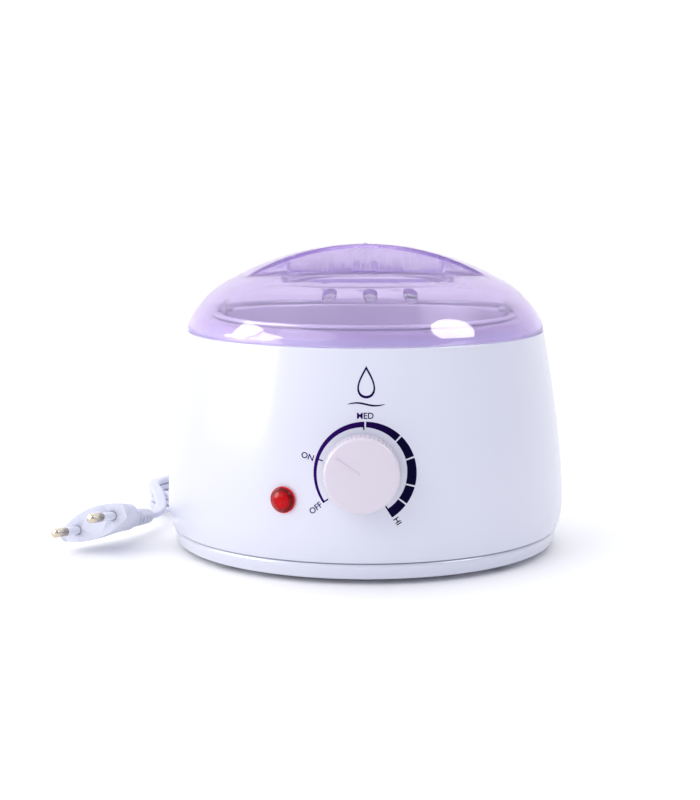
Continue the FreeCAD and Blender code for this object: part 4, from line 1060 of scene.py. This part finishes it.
ink = ink_with_painted_side_light()
print_name = {"dial_scale": scale_marks, "dial_words": words, "drop_emblem": emblem}
for name, parts in print_name.items():
    whole = join_pieces(*parts)
    whole.name = name
    whole.data.materials.clear()
    whole.data.materials.append(ink)
    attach(whole, "housing")

# %% [markdown]
# ## Floor and light
# A white table and a bright even room, with a soft key from the left and a wide light overhead. A window of
# four panes and a round softbox are there for their reflections in the glossy lid, and give no diffuse light.

# %% The table
table_mesh = bpy.data.meshes.new("table")
table_mesh.from_pydata([(-6, -6, 0), (6, -6, 0), (6, 6, 0), (-6, 6, 0)], [], [(0, 1, 2, 3)])
table = in_scene("table", table_mesh)
table_white, table_nodes = blank("white table top")
paper = add(table_nodes, "ShaderNodeBsdfPrincipled", Roughness=1.0, Specular_IOR_Level=0.0)
paper.inputs["Base Color"].default_value = srgb("#FFFFFF")
add(table_nodes, "ShaderNodeOutputMaterial", [(paper.outputs["BSDF"], "Surface")])
table_mesh.materials.append(table_white)

# %% The room: bright behind and on the left, a little dimmer and bluer in front and on the right
room = bpy.data.worlds.new("room")
room.use_nodes = True
sky = room.node_tree
sky.nodes.clear()
toward = add(sky, "ShaderNodeSeparateXYZ", [(add(sky, "ShaderNodeTexCoord").outputs["Generated"], "Vector")])
MIDDLE, TO_BACK, TO_RIGHT, UP = 0.5, 0.9, -0.5, 0.3   # the level, and how it changes with direction
DIM_AIR, BRIGHT_AIR = (0.56, 0.57, 0.66, 1.0), (1.35, 1.35, 1.35, 1.0)
behind = add(sky, "ShaderNodeMath", [(toward.outputs["Y"], 0)], operation="MULTIPLY_ADD")
behind.inputs[1].default_value, behind.inputs[2].default_value = TO_BACK, MIDDLE
left = add(sky, "ShaderNodeMath", [(toward.outputs["X"], 0), (behind.outputs[0], 2)],
           operation="MULTIPLY_ADD")
left.inputs[1].default_value = TO_RIGHT
above = add(sky, "ShaderNodeMath", [(toward.outputs["Z"], 0), (left.outputs[0], 2)],
            operation="MULTIPLY_ADD", use_clamp=True)
above.inputs[1].default_value = UP
shade = two_colours(sky, above.outputs[0], DIM_AIR, BRIGHT_AIR)
air = add(sky, "ShaderNodeBackground", [(shade, "Color")], Strength=1.0)
add(sky, "ShaderNodeOutputWorld", [(air.outputs[0], "Surface")])
bpy.context.scene.world = room


# %% The lights
def area_light(name, at, aim, wide, tall, watts, shape="RECTANGLE"):
    """A white area light at a place, aimed at a point; sizes in metres."""
    lamp = bpy.data.lights.new(name, "AREA")
    lamp.shape, lamp.size, lamp.size_y, lamp.energy = shape, wide, tall, watts
    obj = in_scene(name, lamp)
    obj.location = at
    obj.rotation_euler = (Vector(aim) - Vector(at)).to_track_quat("-Z", "Y").to_euler()
    return obj


area_light("key", (-0.9, -0.9, 0.9), (0, 0, 0.06), 0.9, 0.9, 5.0)
area_light("overhead", (0.1, 0.1, 1.5), (0, 0, 0), 1.6, 1.6, 1)
reflected = [area_light("window_%d%d" % (col, row), (-0.80, -0.34 + 0.31 * col, 0.27 + 0.30 * row),
                        (0, 0, 0.1), 0.27, 0.26, 2.4)
             for col in (0, 1) for row in (0, 1)]
reflected.append(area_light("softbox", (0.567, -0.24, 0.62), (0.04, -0.066, 0.103), 0.36, 0.36, 4.6,
                            shape="DISK"))
for lamp in reflected:
    lamp.visible_diffuse = False
